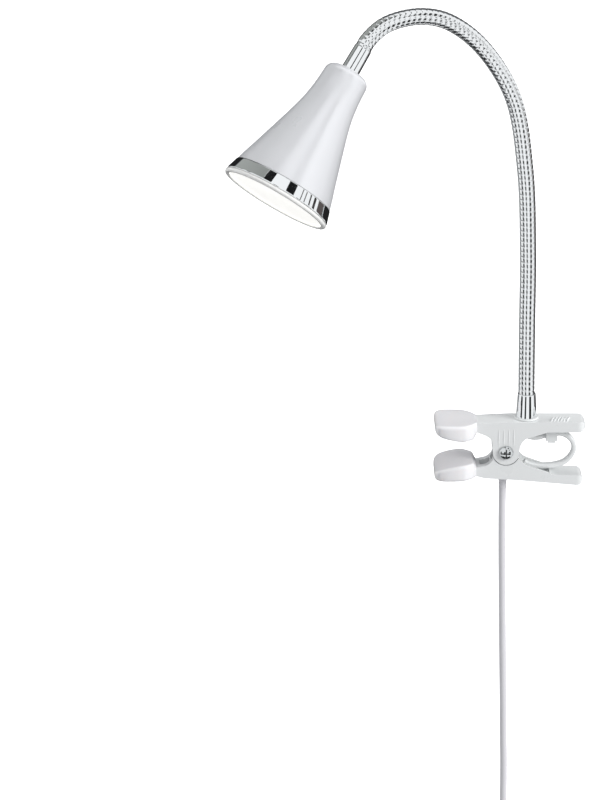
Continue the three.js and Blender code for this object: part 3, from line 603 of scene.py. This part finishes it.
def ridges(name, slot, count, first, step, size, turn=(0, 0, 0)):
    """One row of bars from ridge_tree, first in pivot millimetres, and step and size in millimetres."""
    tree = bpy.data.node_groups.get("ridge_row") or ridge_tree()
    return run_tree(new_object(name, [], []), tree, {
        "Count": count, "First": tuple(place(*first)), "Step": tuple(s * MM for s in step),
        "Size": tuple(s * MM for s in size), "Turn": turn, "Finish": MATERIALS[slot],
    })


# ---------------------------------------------------------------- what a user may change
class LampStage(PropertyGroup):
    key: FloatProperty(
        name="Key light", description="Watts of the softbox at the front right", default=43, min=0.0)
    rim: FloatProperty(
        name="Rim light", description="Watts of the softbox behind the left", default=14, min=0.0)
    top: FloatProperty(name="Top light", description="Watts of the softbox overhead", default=11, min=0.0)
    room: FloatProperty(name="Room", description="Strength of the pale room light", default=0.5, min=0.0)
    walls: FloatProperty(
        name="Walls", description="Brightness of the white walls in reflections", default=1.12, min=0.0)


class LampColours(PropertyGroup):
    lever: FloatVectorProperty(
        name="Clip", description="White plastic of the levers", subtype="COLOR", size=4, min=0.0, max=1.0,
        default=linear("#EFF1F1"))
    pad: FloatVectorProperty(
        name="Pads", description="Silicone of the jaw pads", subtype="COLOR", size=4, min=0.0, max=1.0,
        default=linear("#F4F3F5"))
    shade: FloatVectorProperty(
        name="Shade", description="Lacquer of the shade", subtype="COLOR", size=4, min=0.0, max=1.0,
        default=linear("#E3E4E7"))
    cord: FloatVectorProperty(
        name="Cord", description="Sheath of the cord", subtype="COLOR", size=4, min=0.0, max=1.0,
        default=linear("#E4E3E7"))


class LampSizes(PropertyGroup):
    pitch: FloatProperty(
        name="Winding pitch", description="Length of neck that one turn of strip takes up", default=3.2 * MM,
        min=0.0005, unit="LENGTH", precision=5)
    groove: FloatProperty(
        name="Winding groove", description="Depth between two turns of strip", default=0.22 * MM, min=0.0,
        unit="LENGTH", precision=5)
    crown: FloatProperty(
        name="Winding crown", description="How far each turn of strip bulges", default=0.07 * MM, min=0.0,
        unit="LENGTH", precision=5)
    sides: IntProperty(name="Winding sides", description="Faces round the neck", default=36, min=12)
    cord_length: FloatProperty(
        name="Cord length", description="From the clip to the plug, in all", default=1.9, min=0.5,
        unit="LENGTH")
    lever_edge: FloatProperty(
        name="Lever edges", description="Radius of the levers' edges", default=0.7 * MM, min=0.0,
        unit="LENGTH", precision=5)


def hex_of(colour):
    """The sRGB hex value of a linear colour, as a material takes it."""
    parts = [12.92 * c if c <= 0.0031308 else 1.055 * c ** (1 / 2.4) - 0.055 for c in colour[:3]]
    return "#" + "".join(f"{round(255 * min(1, max(0, c))):02X}" for c in parts)


# ---------------------------------------------------------------- stage and camera
# Metres in the row frame, degrees below level, and the lens in millimetres for its film.
CAMERA_PLACE = Vector((-0.1017, -2.0722, 0.7553))
CAMERA_PITCH = 19.5
CAMERA_LENS = 165.015
CAMERA_FILM = 36
ROOM_HALF = 9.0
FLOOR_DROP = 0.012
STAGE_MIDDLE = (0, 0, 0.1)
NECK_MIDDLE = Vector((0.037, 0, 0.1))
STEM_MIDDLE = Vector((-0.067, -0.03, 0.238))
HEAD_MIDDLE = Vector((-0.114, -0.067, 0.164))
# Dark felts between the white walls give the chrome its long dark and bright stripes. Each hangs a metre from
# a middle, and has a name, the directions that its ribbon runs through, its half width in metres and its
# colour. A direction is an azimuth, 0 being the camera's side, and an elevation, in degrees.
FELTS = [
    (NECK_MIDDLE, [
        ("felt_neck_far_left", [(-142, -19), (-106, -19)], 0.3, "#8E9092"),
        ("felt_neck_left", [(-72, -19), (-48, -19)], 0.3, "#242527"),
        ("felt_neck_centre", [(-20, -19), (-2, -19)], 0.3, "#1C1D1F"),
        ("felt_neck_right", [(31, -19), (57, -19)], 0.3, "#1C1D1F"),
        ("felt_neck_far_right", [(101, -19), (131, -19)], 0.3, "#7B7D7F"),
    ]),
    (STEM_MIDDLE, [
        ("felt_stem_edge", [(-166, -5), (-150, 7)], 0.1, "#2A2B2C"),
        ("felt_stem_far_left", [(-146, 11), (-128, 23), (-108, 36)], 0.12, "#87898A"),
        ("felt_stem_left", [(-97, 42), (-84, 45)], 0.12, "#1B1C1D"),
        ("felt_stem_centre", [(-5, 42), (8, 36)], 0.12, "#1B1C1D"),
        ("felt_stem_right", [(44, 11), (52, 5)], 0.12, "#2A2B2C"),
    ]),
    (HEAD_MIDDLE, [
        ("felt_head_edge", [(-178, -18), (-168, -7), (-157, 8), (-148, 22)], 0.22, "#141516"),
        ("felt_head_left", [(-147, 24), (-136, 39), (-123, 55), (-100, 70), (-62, 77), (-38, 78)], 0.28,
         "#BDC0BC"),
        ("felt_head_centre", [(-36, 78), (-8, 76), (18, 71)], 0.28, "#0E0F10"),
        ("felt_head_right", [(52, 48), (58, 42), (64, 35)], 0.28, "#0E0F10"),
        ("felt_streak_1", [(73, 24.5), (74.2, 23)], 0.2, "#777271"),
        ("felt_streak_2", [(78.6, 18), (79.8, 16.5)], 0.2, "#6C6665"),
        ("felt_streak_3", [(86, 10), (88.5, 8)], 0.2, "#544F4E"),
        ("felt_streak_4", [(94, 3.5), (98.5, -0.5)], 0.2, "#4A4544"),
        ("felt_head_far_right", [(105, -4.5), (112, -9), (122, -13)], 0.2, "#6E6664"),
        ("felt_head_end", [(126, -14.5), (148, -19.5), (175, -19)], 0.2, "#1A1A1B"),
    ]),
    # This one darkens the underside of the bolt's dome.
    (PIVOT, [("felt_low", [(8, -54), (8, -72), (8, -88), (188, -74)], 0.7, "#333537")]),
    # These grey the neck's arc along its inner and its outer edge.
    (NECK_MIDDLE, [
        ("felt_low_left", [(-112, -30), (-104, -50), (-92, -68)], 0.42, "#4C4E50"),
        ("felt_high_back", [(180, 8), (180, 38), (180, 66)], 0.75, "#6A6C6E"),
    ]),
    (Vector((0, 0, 0)), [("felt_back", [(152, -12), (180, -12), (-152, -12)], 0.9, "#4A4C4E")]),
]


def build_camera():
    """The camera, level across and tipped down at the lamp."""
    data = bpy.data.cameras.new("camera")
    data.sensor_width = CAMERA_FILM
    data.lens = CAMERA_LENS
    data.clip_end = 50
    camera = bpy.data.objects.new("camera", data)
    camera.location = CAMERA_PLACE
    camera.rotation_euler = (math.radians(90 - CAMERA_PITCH), 0, 0)
    bpy.context.scene.collection.objects.link(camera)
    bpy.context.scene.camera = camera


def direction(azimuth, elevation):
    """A unit vector, with azimuth 0 towards the camera."""
    turn = math.radians(azimuth) + math.atan2(CAMERA_PLACE.x, -CAMERA_PLACE.y)
    rise = math.radians(elevation)
    return Vector((math.sin(turn) * math.cos(rise), -math.cos(turn) * math.cos(rise), math.sin(rise)))


def felt(name, middle, directions, half_width, colour):
    """A ribbon of felt, a metre from the middle, that only reflections see."""
    path = [direction(*d) for d in directions]
    fine = [path[i].slerp(path[i + 1], k / 4) for i in range(len(path) - 1) for k in range(4)] + [path[-1]]
    points = []
    for i, point in enumerate(fine):
        along = fine[min(i + 1, len(fine) - 1)] - fine[max(i - 1, 0)]
        side = point.cross(along).normalized() * half_width
        points += [middle + point - side, middle + point + side]
    made = new_object(name, points, [[2 * k, 2 * k + 1, 2 * k + 3, 2 * k + 2] for k in range(len(fine) - 1)])
    made.data.materials.append(material(f"{name}_wool", colour, 0.9, tone=0.02, patch_mm=200, grain_mm=8))
    made.visible_camera = made.visible_diffuse = made.visible_shadow = False
    made.visible_transmission = made.visible_volume_scatter = False


def softbox(name, centre, size, power):
    """A soft light that shapes the surfaces without showing as a mirrored square in them."""
    data = bpy.data.lights.new(name, "AREA")
    data.shape = "RECTANGLE"
    data.size, data.size_y = size
    data.energy = power
    made = bpy.data.objects.new(name, data)
    made.visible_glossy = False
    made.location = centre
    made.rotation_euler = (Vector(STAGE_MIDDLE) - Vector(centre)).to_track_quat("-Z", "Y").to_euler()
    bpy.context.scene.collection.objects.link(made)


class LAMP_OT_stage(Operator):
    """Lays the pale floor and sets the soft studio light"""
    bl_idname = "lamp.stage"
    bl_label = "Stage"

    def execute(self, context):
        wanted = context.scene.lamp_stage
        low = CAD_BOX[0][2] - FLOOR_DROP
        corners = ((-1, -1), (1, -1), (1, 1), (-1, 1))
        floor = new_object("floor", [(x * ROOM_HALF, y * ROOM_HALF, low) for x, y in corners], [[0, 1, 2, 3]])
        # Lit paper sweep: white right across, so the lamp's own whites read as slightly darker.
        floor.data.materials.append(material(
            "paper_lit_sweep", "#F4F4F4", 0.9, tone=0.004, patch_mm=400, grain_mm=2, grain_um=20,
            emission_color=(1, 1, 1, 1), emission_strength=0.9))
        floor.visible_diffuse = floor.visible_glossy = False
        softbox("key", (1.89, -1.09, 0.98), (1.1, 1.4), wanted.key)
        softbox("rim", (-1.8, 0.9, 0.6), (1.0, 1.6), wanted.rim)
        softbox("top", (-0.1, 0.3, 2.1), (1.6, 1.6), wanted.top)
        for middle, rows in FELTS:
            for name, directions, half_width, colour in rows:
                felt(name, middle, directions, half_width, colour)
        context.scene.view_settings.view_transform = "Standard"
        world = bpy.data.worlds.new("pale_room")
        context.scene.world = world
        world.use_nodes = True
        tree = world.node_tree
        tree.nodes.clear()
        # The white walls look brighter in polished metal than the soft light that they give off.
        walls = add(tree, "ShaderNodeBackground", {"Color": linear("#FAFBFC"), "Strength": wanted.walls})
        room = add(tree, "ShaderNodeBackground", {"Color": linear("#F7F8FA"), "Strength": wanted.room})
        ray = add(tree, "ShaderNodeLightPath").outputs["Is Glossy Ray"]
        glow = add(tree, "ShaderNodeMixShader", {0: ray, 1: room.outputs[0], 2: walls.outputs[0]})
        add(tree, "ShaderNodeOutputWorld", {"Surface": glow.outputs[0]})
        return {"FINISHED"}


# ---------------------------------------------------------------- cord, switch and plug
def coil_points():
    """The nine turns of the coil, each easing from its cell of the bundle into the next."""
    start, points = math.radians(COIL_STARTS), []
    whole = math.radians(COIL_LEAVES + 360 * len(TURN_CELLS)) - start
    ease = math.radians(MOVE_EASE)
    steps = 16 * len(TURN_CELLS) + 2
    for i in range(steps + 1):
        turned_by = whole * i / steps
        angle = start + turned_by
        row, column = TURN_CELLS[0]
        for k, (to_row, to_column) in enumerate(TURN_CELLS[1:]):
            moves_at = math.radians(FIRST_MOVE + MOVE_STEP * k) - start
            t = min(1.0, max(0.0, (turned_by - moves_at) / ease + 0.5))
            t = t * t * (3 - 2 * t)
            if t > 0:
                last_row, last_column = TURN_CELLS[k]
                row = last_row + (to_row - last_row) * t
                column = last_column + (to_column - last_column) * t
        radius = COIL_RADIUS + CORD_WIDTH * (1 - row)
        across, up = radius * math.cos(angle), radius * math.sin(angle)
        points.append((SWITCH_X + across, CORD_WIDTH * (column - 1), COIL_Z + up))
    return points


def cord_points():
    """The whole cord, from the clip through the switch and the coil to the plug."""
    turns = coil_points()
    first = turns[0]
    slant = 0.7071
    lead = [(first[0] + d * slant, first[1] * s, first[2] + d * slant)
            for d, s in ((24, 0.7), (17.5, 0.95), (9, 1.0))]
    last = turns[-1]
    tail = [(last[0], last[1], last[2] - d) for d in (9, 18, 27, 36, 44, 50)]
    return HANGING_CORD + lead + turns + tail


# What the cord carries: the CAD node, its piece, slot, edge radius in millimetres and segments.
CORD_FITTINGS = [
    ("switch_front", "switch_front_shell", "switch_plastic", 1.1, 4),
    ("switch_back", "switch_back_shell", "switch_plastic", 1.1, 4),
    ("switch_rocker", "switch_rocker_key", "switch_plastic", 0.8, 4, 32, "rocker"),
    ("cord_tie", "coil_tie_band", "dark_nylon", 0.45, 3),
    ("plug_body", "plug_moulding", "switch_plastic", 2.2, 5, 25),
]
CORD_METALS = {
    "switch_screw_a": "zinc_steel", "switch_screw_b": "zinc_steel",
    "plug_pin_left": "nickel_pins", "plug_pin_right": "nickel_pins",
}


class LAMP_OT_cord(Operator):
    """Hangs the mains cord from the clip, through the switch and round its coil to the plug"""
    bl_idname = "lamp.cord"
    bl_label = "Cord"

    def execute(self, context):
        data = bpy.data.curves.new("mains_cord", "CURVE")
        data.dimensions = "3D"
        data.bevel_depth = CORD_WIDTH / 2 * MM
        data.bevel_resolution = 5
        data.resolution_u = 5
        data.use_fill_caps = True
        points = cord_points()
        spline = data.splines.new("BEZIER")
        spline.bezier_points.add(len(points) - 1)
        for knot, point in zip(spline.bezier_points, points):
            knot.co = place(*point)
            knot.handle_left_type = knot.handle_right_type = "AUTO"
        cord = bpy.data.objects.new("mains_cord", data)
        context.scene.collection.objects.link(cord)
        keep(cord, "clip_frame", "cord_pvc", "supply_cord", "coil_lead", "cord_coil", "plug_lead")
        fittings = [strain_relief()] + [eased_piece(*row) for row in CORD_FITTINGS]
        finish_nodes(CORD_METALS)
        fittings += [frame["nodes"][node] for node in CORD_METALS]
        return {"FINISHED"}


def strain_relief():
    """The relief: a flange held in the clip, a groove, and a tapered sleeve with bending rings."""
    bore = CORD_WIDTH / 2
    profile = [(bore, RELIEF_TOP_Z), (3.3, RELIEF_TOP_Z), (3.3, RELIEF_TOP_Z - 1.8),
               (2.6, RELIEF_TOP_Z - 1.8), (2.6, RELIEF_TOP_Z - 4.1), (3.1, RELIEF_TOP_Z - 4.1)]
    top, rings = RELIEF_TOP_Z - 6, 6
    step = (top - RELIEF_TIP_Z - 1.2) / rings
    for k in range(rings):
        radius = 3.1 - 0.65 * k / (rings - 1)
        z = top - k * step
        profile += [(radius, z), (radius - 0.05, z - step * 0.55), (radius - 0.45, z - step * 0.62),
                    (radius - 0.45, z - step * 0.93)]
    profile += [(2.45, RELIEF_TIP_Z + 1), (2.4, RELIEF_TIP_Z), (bore, RELIEF_TIP_Z), (bore, RELIEF_TOP_Z)]
    upright = Matrix.Translation(place(CORD_X, 0, 0))
    made = turned("strain_relief_sleeve", rounded(profile, 0.25, 2), upright, 40)
    return keep(made, "clip_frame", "cord_pvc", "strain_relief")


# ---------------------------------------------------------------- clip
class LAMP_OT_levers(Operator):
    """Makes the two levers with their eased edges, ribs and grip ridges"""
    bl_idname = "lamp.levers"
    bl_label = "Levers"

    def execute(self, context):
        edge = context.scene.lamp_sizes.lever_edge / MM
        upper = eased(merged_copy("upper_lever", "upper_lever_body"), edge, 3)
        grips = ridges("grips", "lever_plastic", 6, (28, -2.8, 19.35), (1.85, 0, 0), (0.75, 8.6, 1.5),
                       (0, 0, math.radians(-18)))
        ribs = ridges("ribs", "lever_plastic", 4, (-4.6, -LEVER_HALF + 0.05, 9.2), (3.0, 0, 0),
                      (0.9, 0.5, 12.0))
        moulding = joined("upper_lever_moulding", [upper, grips, ribs])
        keep(moulding, "clip_frame", "lever_plastic", "upper_lever")
        eased_piece("lower_lever", "lower_lever_moulding", "lever_plastic", edge, 3, body="lower_jaw")
        return {"FINISHED"}


def pad_section(half, top, bottom):
    """One cross-section: a slightly dished top, a soft rim, an upright skirt and a flat sole."""
    rim = min(1.8, 0.4 * (top - bottom))
    foot = min(1.7, 0.35 * (top - bottom))
    dish = 0.25
    points = []
    for middle_y, middle_z, reach, start in (
            (half - rim, top - rim, rim, 0), (rim - half, top - rim, rim, 90),
            (foot - half, bottom + foot, foot, 180), (half - foot, bottom + foot, foot, 270)):
        points += arc((middle_y, middle_z), reach, start, start + 90, 6)
        if start == 0:
            across = [middle_y * (1 - k / 5) for k in range(1, 10)]
            points += [(y, top - dish * (1 - (y / middle_y) ** 2)) for y in across]
        if start == 180:
            points += [(middle_y * (1 - k / 3), bottom) for k in range(1, 6)]
    return points


class LAMP_OT_pads(Operator):
    """Makes the two soft jaw pads, crowned on top and turned up at the tip"""
    bl_idname = "lamp.pads"
    bl_label = "Pads"

    def execute(self, context):
        for node, body, up in (("upper_pad", "clip_frame", 1), ("lower_pad", "lower_jaw", -1)):
            vertices = []
            for x, half, top, bottom in PAD_SECTIONS:
                for y, z in pad_section(half, top, bottom):
                    height = z if up > 0 else 2 * UPPER_SOLE_Z - BOARD_THICKNESS - z
                    vertices.append(place(x, y * up, height))
            boot = lofted(f"{node}_boot", vertices, len(vertices) // len(PAD_SECTIONS))
            boot.data.shade_smooth()
            soft = boot.modifiers.new("soft", "SUBSURF")
            soft.levels = soft.render_levels = 1
            keep(settle(boot), body, "pad_rubber", node)
        return {"FINISHED"}


def in_recess(point):
    """Whether a point of the bolt, in metres from the pivot, is inside its cross recess."""
    x, y, z = point / MM
    dome_y = -BOLT_FACE - BOLT_DOME * max(0.0, 1 - (x * x + z * z) / BOLT_HEAD_RADIUS ** 2) ** 0.55
    inside = max(abs(x), abs(z)) < RECESS_REACH + 0.02 and min(abs(x), abs(z)) < RECESS_HALF_WIDTH + 0.02
    return inside and dome_y + 0.1 < y < 0


class LAMP_OT_fixings(Operator):
    """Makes the pivot bolt, its nut and washer, the spring's retainer and the cord anchor"""
    bl_idname = "lamp.fixings"
    bl_label = "Fixings"

    def execute(self, context):
        dome = [(BOLT_HEAD_RADIUS * math.cos(a), BOLT_FACE + BOLT_DOME * math.sin(a) ** 1.1)
                for a in np.linspace(0, math.pi / 2, 12)]
        tail = BOLT_FACE + 4.7
        shank = [(0, -tail), (BOLT_RADIUS - 0.5, -tail), (BOLT_RADIUS, 0.5 - tail), (BOLT_RADIUS, BOLT_FACE)]
        profile = shank + dome[:-1] + [(0, BOLT_FACE + BOLT_DOME)]
        forward = Matrix.Translation(PIVOT) @ Matrix.Rotation(math.pi / 2, 4, "X")
        deep = (-BOLT_FACE - 3.2, -BOLT_FACE - 0.9)
        long, short = (-RECESS_REACH, RECESS_REACH), (-RECESS_HALF_WIDTH, RECESS_HALF_WIDTH)
        bolt = carve(turned("pivot_bolt_domed", profile, forward, 64),
                     [block(long, deep, short), block(short, deep, long)])
        keep(smooth(bolt, 30), "clip_frame", "bright_chrome", "pivot_bolt", finish="bolt_chrome")
        # The faces of the cross recess get the darker steel: painted shade for the shade inside the recess.
        bolt.data.materials.append(MATERIALS["recess_painted_shade"])
        for face in bolt.data.polygons:
            face.material_index = int(in_recess(face.center - PIVOT))
        eased_piece("pivot_nut", "pivot_cap_nut", "bright_chrome", 0.3, 3)
        eased_piece("bolt_washer", "bolt_washer_flat", "zinc_steel", 0.15, 2)
        eased_piece("spring_retainer", "spring_saddle", "lever_plastic", 0.3, 3, finish="spring_coating")
        eased_piece("cord_anchor", "cord_anchor_block", "dark_nylon", 0.35, 2)
        return {"FINISHED"}


class LAMP_OT_spring(Operator):
    """Bends the coated leaf spring between the handles"""
    bl_idname = "lamp.spring"
    bl_label = "Spring"

    def execute(self, context):
        corner = 1.0
        side, top = SPRING_HALF_WIDTH - corner, SPRING_HALF_THICKNESS - corner
        section = []
        for y, z, start in ((side, top, 0), (-side, top, 90), (-side, -top, 180), (side, -top, 270)):
            section += arc((y, z), corner, start, start + 90, 3)
        line = [place(*p) for p in centripetal([(x, 0, z) for x, z in SPRING_ROUTE], 8)]
        band = smooth(swept("leaf_spring_band", line, section, Vector((0, 1, 0))), 50)
        keep(band, None, "spring_coating", "leaf_spring")
        start, end = (place(*p) for p in SPRING_BENDS)
        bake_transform(band)
        return {"FINISHED"}


# ---------------------------------------------------------------- neck
def neck_winding(sizes, line):
    """The whole wound tube along the line, as rows of points round it."""
    route = new_object("neck_route", line, [])
    route.data.edges.add(len(line) - 1)
    for i, edge in enumerate(route.data.edges):
        edge.vertices = (i, i + 1)
    wound = run_tree(route, winding_tree(), {
        "Radius": NECK_RADIUS * MM, "Pitch": sizes.pitch, "Groove": sizes.groove, "Crown": sizes.crown,
        "Rows": 12, "Sides": sizes.sides, "Finish": MATERIALS["neck_chrome"],
    })
    points = np.array([v.co for v in wound.data.vertices], float)
    rows = len(points) // sizes.sides
    bpy.data.objects.remove(wound)
    return points[:rows * sizes.sides].reshape(rows, sizes.sides, 3)


class LAMP_OT_neck(Operator):
    """Winds the flexible neck and cuts it into lengths, each round one joint"""
    bl_idname = "lamp.neck"
    bl_label = "Neck"

    def execute(self, context):
        line = centripetal([place(*p) for p in NECK_ROUTE], 24)
        points = np.array([tuple(p) for p in line])
        along = np.concatenate([[0], np.cumsum([(b - a).length for a, b in zip(line, line[1:])])])
        wound = neck_winding(context.scene.lamp_sizes, line)
        bends = [JOINTS[f"neck_bend_{k + 1}"] for k in range(NECK_BENDS)]
        hinges = [along[np.linalg.norm(points - np.array(b["pos_m"]), axis=1).argmin()] for b in bends]
        spigot = SPIGOT_LENGTH * MM
        middles = [(a + b) / 2 for a, b in zip(hinges, hinges[1:])]
        cuts = [0.6 * spigot] + middles + [along[-1] - 0.6 * spigot]
        at = [int(round(c / along[-1] * (len(wound) - 1))) for c in cuts]
        for k, (bend, hinge, low, high) in enumerate(zip(bends, hinges, at, at[1:])):
            rows = wound[low:high + 1]
            piece = smooth(lofted(f"neck_winding_{k + 1}", rows.reshape(-1, 3), rows.shape[1]), 80)
            nodes = [f"neck_length_{k}" if k else "neck_root"] + ["neck_tip"] * (k == NECK_BENDS - 1)
            keep(piece, None, "neck_chrome", *nodes)
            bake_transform(piece)
        upright = Matrix.Translation(place(STEM_X, 0, 0))
        ferrule = [(4.95, 20.4), (6.25, 20.4), (6.15, 21.6), (5.45, FERRULE_TOP_Z - 0.6),
                   (5.3, FERRULE_TOP_Z), (4.95, FERRULE_TOP_Z), (4.95, 20.4)]
        keep(turned("lower_ferrule_sleeve", rounded(ferrule, 0.25), upright), "clip_frame", "bright_chrome",
             "lower_ferrule")
        collar = [(4.3, 19.3), (7.4, 19.3), (7.35, 20.1), (6.9, 20.4), (4.3, 20.4), (4.3, 19.3)]
        keep(turned("neck_collar_ring", rounded(collar, 0.35), upright), "clip_frame", "lever_plastic",
             "neck_collar")
        finish_nodes({"neck_nipple": "brass", "neck_nut": "zinc_steel"})
        return {"FINISHED"}


# ---------------------------------------------------------------- head
def head_matrix():
    """Where the lamp head sits: its mouth at the origin, its axis along Z, from the bezel's own mesh."""
    turn = Vector((0, 0, -1)).rotation_difference(HEAD_AXIS.normalized()).to_matrix()
    flat = [turn.inverted() @ v.co for v in frame["nodes"]["front_bezel"].data.vertices]
    low = Vector([min(p[i] for p in flat) for i in range(3)])
    high = Vector([max(p[i] for p in flat) for i in range(3)])
    centre = turn @ Vector(((low[0] + high[0]) / 2, (low[1] + high[1]) / 2, low[2]))
    return Matrix.Translation(centre) @ turn.to_4x4()


class LAMP_OT_head(Operator):
    """Turns the shade, its trim ring, bezel and lens, and finishes what is inside"""
    bl_idname = "lamp.head"
    bl_label = "Head"

    def execute(self, context):
        head = head_matrix()
        side = [(p[0], p[1]) for p in centripetal([(r, z, 0) for r, z in SHADE_PROFILE], 5)]
        outer = side + arc((8.0, 80.7), 5.5, 8, 90, 10) + [(4.3, 86.2)]
        wall = [(r - SHELL, z) for r, z in side[::-1]]
        inner = [(4.3, 84.6)] + arc((8.0, 80.7), 5.5 - SHELL, 90, 8, 6) + wall
        keep(turned("shade_trumpet", outer + inner + [outer[0]], head, 128), "lamp_head", "shade_lacquer",
             "shade")
        ring = [(31.2, 2.5), (32.75, 2.5), (32.72, 3.2), (30.75, 9.7), (30.4, 10.1), (29.4, 10.0),
                (31.2, 3.0), (31.2, 2.5)]
        keep(turned("trim_ring_polished", rounded(ring, 0.3), head, 128), "lamp_head", "bright_chrome",
             "trim_ring")
        rim = [(27.3, 10.6), (27.3, 2.1), (30.5, 2.1), (30.5, 0.8), (30.1, 0.7), (30.05, 0.4), (30.35, 0.1),
               (30.9, 0.0)]
        seat = [(32.3, 2.35), (30.8, 2.35), (30.8, 3.5), (28.5, 3.5), (28.5, 10.6), (27.3, 10.6)]
        bezel = rim + arc((31.8, 1.2), 1.2, -90, 60, 10) + seat
        keep(turned("front_bezel_rolled", bezel, head, 128), "lamp_head", "opal_plastic", "front_bezel")
        lens = [(0, 0.45), (8, 0.48), (16, 0.58), (24, 0.78), (29, 0.95), (29.9, 1.0), (30.2, 1.2),
                (30.2, 2.0), (0, 2.0)]
        keep(turned("lens_opal", lens, head, 96), "lamp_head", "opal_plastic", "diffuser", finish="lens")
        sleeve = [(4.9, 86.3), (5.5, 86.3), (5.45, 88), (5.2, 101.1), (5.1, 101.6), (4.92, 101.6),
                  (4.9, 86.3)]
        stem = [(3.2, 78.5), (4, 78.5), (4, 86.6), (4.92, 86.6), (4.92, 92.4), (3.2, 92.4), (3.2, 78.5)]
        parts = [turned("sleeve", rounded(sleeve, 0.2), head, 72), turned("stem", stem, head, 48)]
        keep(smooth(joined("upper_ferrule_sleeve", parts)), "lamp_head", "bright_chrome", "upper_ferrule")
        finish_nodes({
            "reflector": "reflector_plastic", "led_board": "circuit_board", "led_emitter": "phosphor",
            "board_screw_a": "zinc_steel", "board_screw_b": "zinc_steel", "heat_sink": "heat_sink_metal",
            "driver_board": "circuit_board", "driver_capacitor": "dark_nylon", "shade_nut": "zinc_steel",
        })
        return {"FINISHED"}


# ---------------------------------------------------------------- panel and registration
OPERATORS = (LAMP_OT_cord, LAMP_OT_stage, LAMP_OT_levers, LAMP_OT_pads, LAMP_OT_fixings, LAMP_OT_spring,
             LAMP_OT_neck, LAMP_OT_head)
GROUPS = (("lamp_stage", LampStage), ("lamp_colours", LampColours), ("lamp_sizes", LampSizes))


class LAMP_PT_panel(Panel):
    """Lists the lamp's pieces and what may be changed"""
    bl_idname = "LAMP_PT_panel"
    bl_label = "Reading Lamp"
    bl_space_type = "VIEW_3D"
    bl_region_type = "UI"
    bl_category = "Reading Lamp"

    def draw(self, context):
        for attribute, group in GROUPS:
            box = self.layout.box()
            for name in group.__annotations__:
                box.prop(getattr(context.scene, attribute), name)
        for operator in OPERATORS:
            self.layout.operator(operator.bl_idname)


def register():
    for _, group in GROUPS:
        bpy.utils.register_class(group)
    for operator in OPERATORS:
        bpy.utils.register_class(operator)
    bpy.utils.register_class(LAMP_PT_panel)
    for attribute, group in GROUPS:
        setattr(bpy.types.Scene, attribute, PointerProperty(type=group))


def unregister():
    for attribute, _ in GROUPS:
        delattr(bpy.types.Scene, attribute)
    bpy.utils.unregister_class(LAMP_PT_panel)
    for made in (*OPERATORS, *(group for _, group in GROUPS)):
        bpy.utils.unregister_class(made)


def main():
    """Builds the whole lamp, each operator in its order."""
    register()
    build_camera()
    colours = bpy.context.scene.lamp_colours
    build_materials({name: hex_of(getattr(colours, name)) for name in ("lever", "pad", "shade", "cord")})
    for operator in OPERATORS:
        getattr(bpy.ops.lamp, operator.bl_idname.split(".")[1])()


if __name__ == "__main__":
    main()
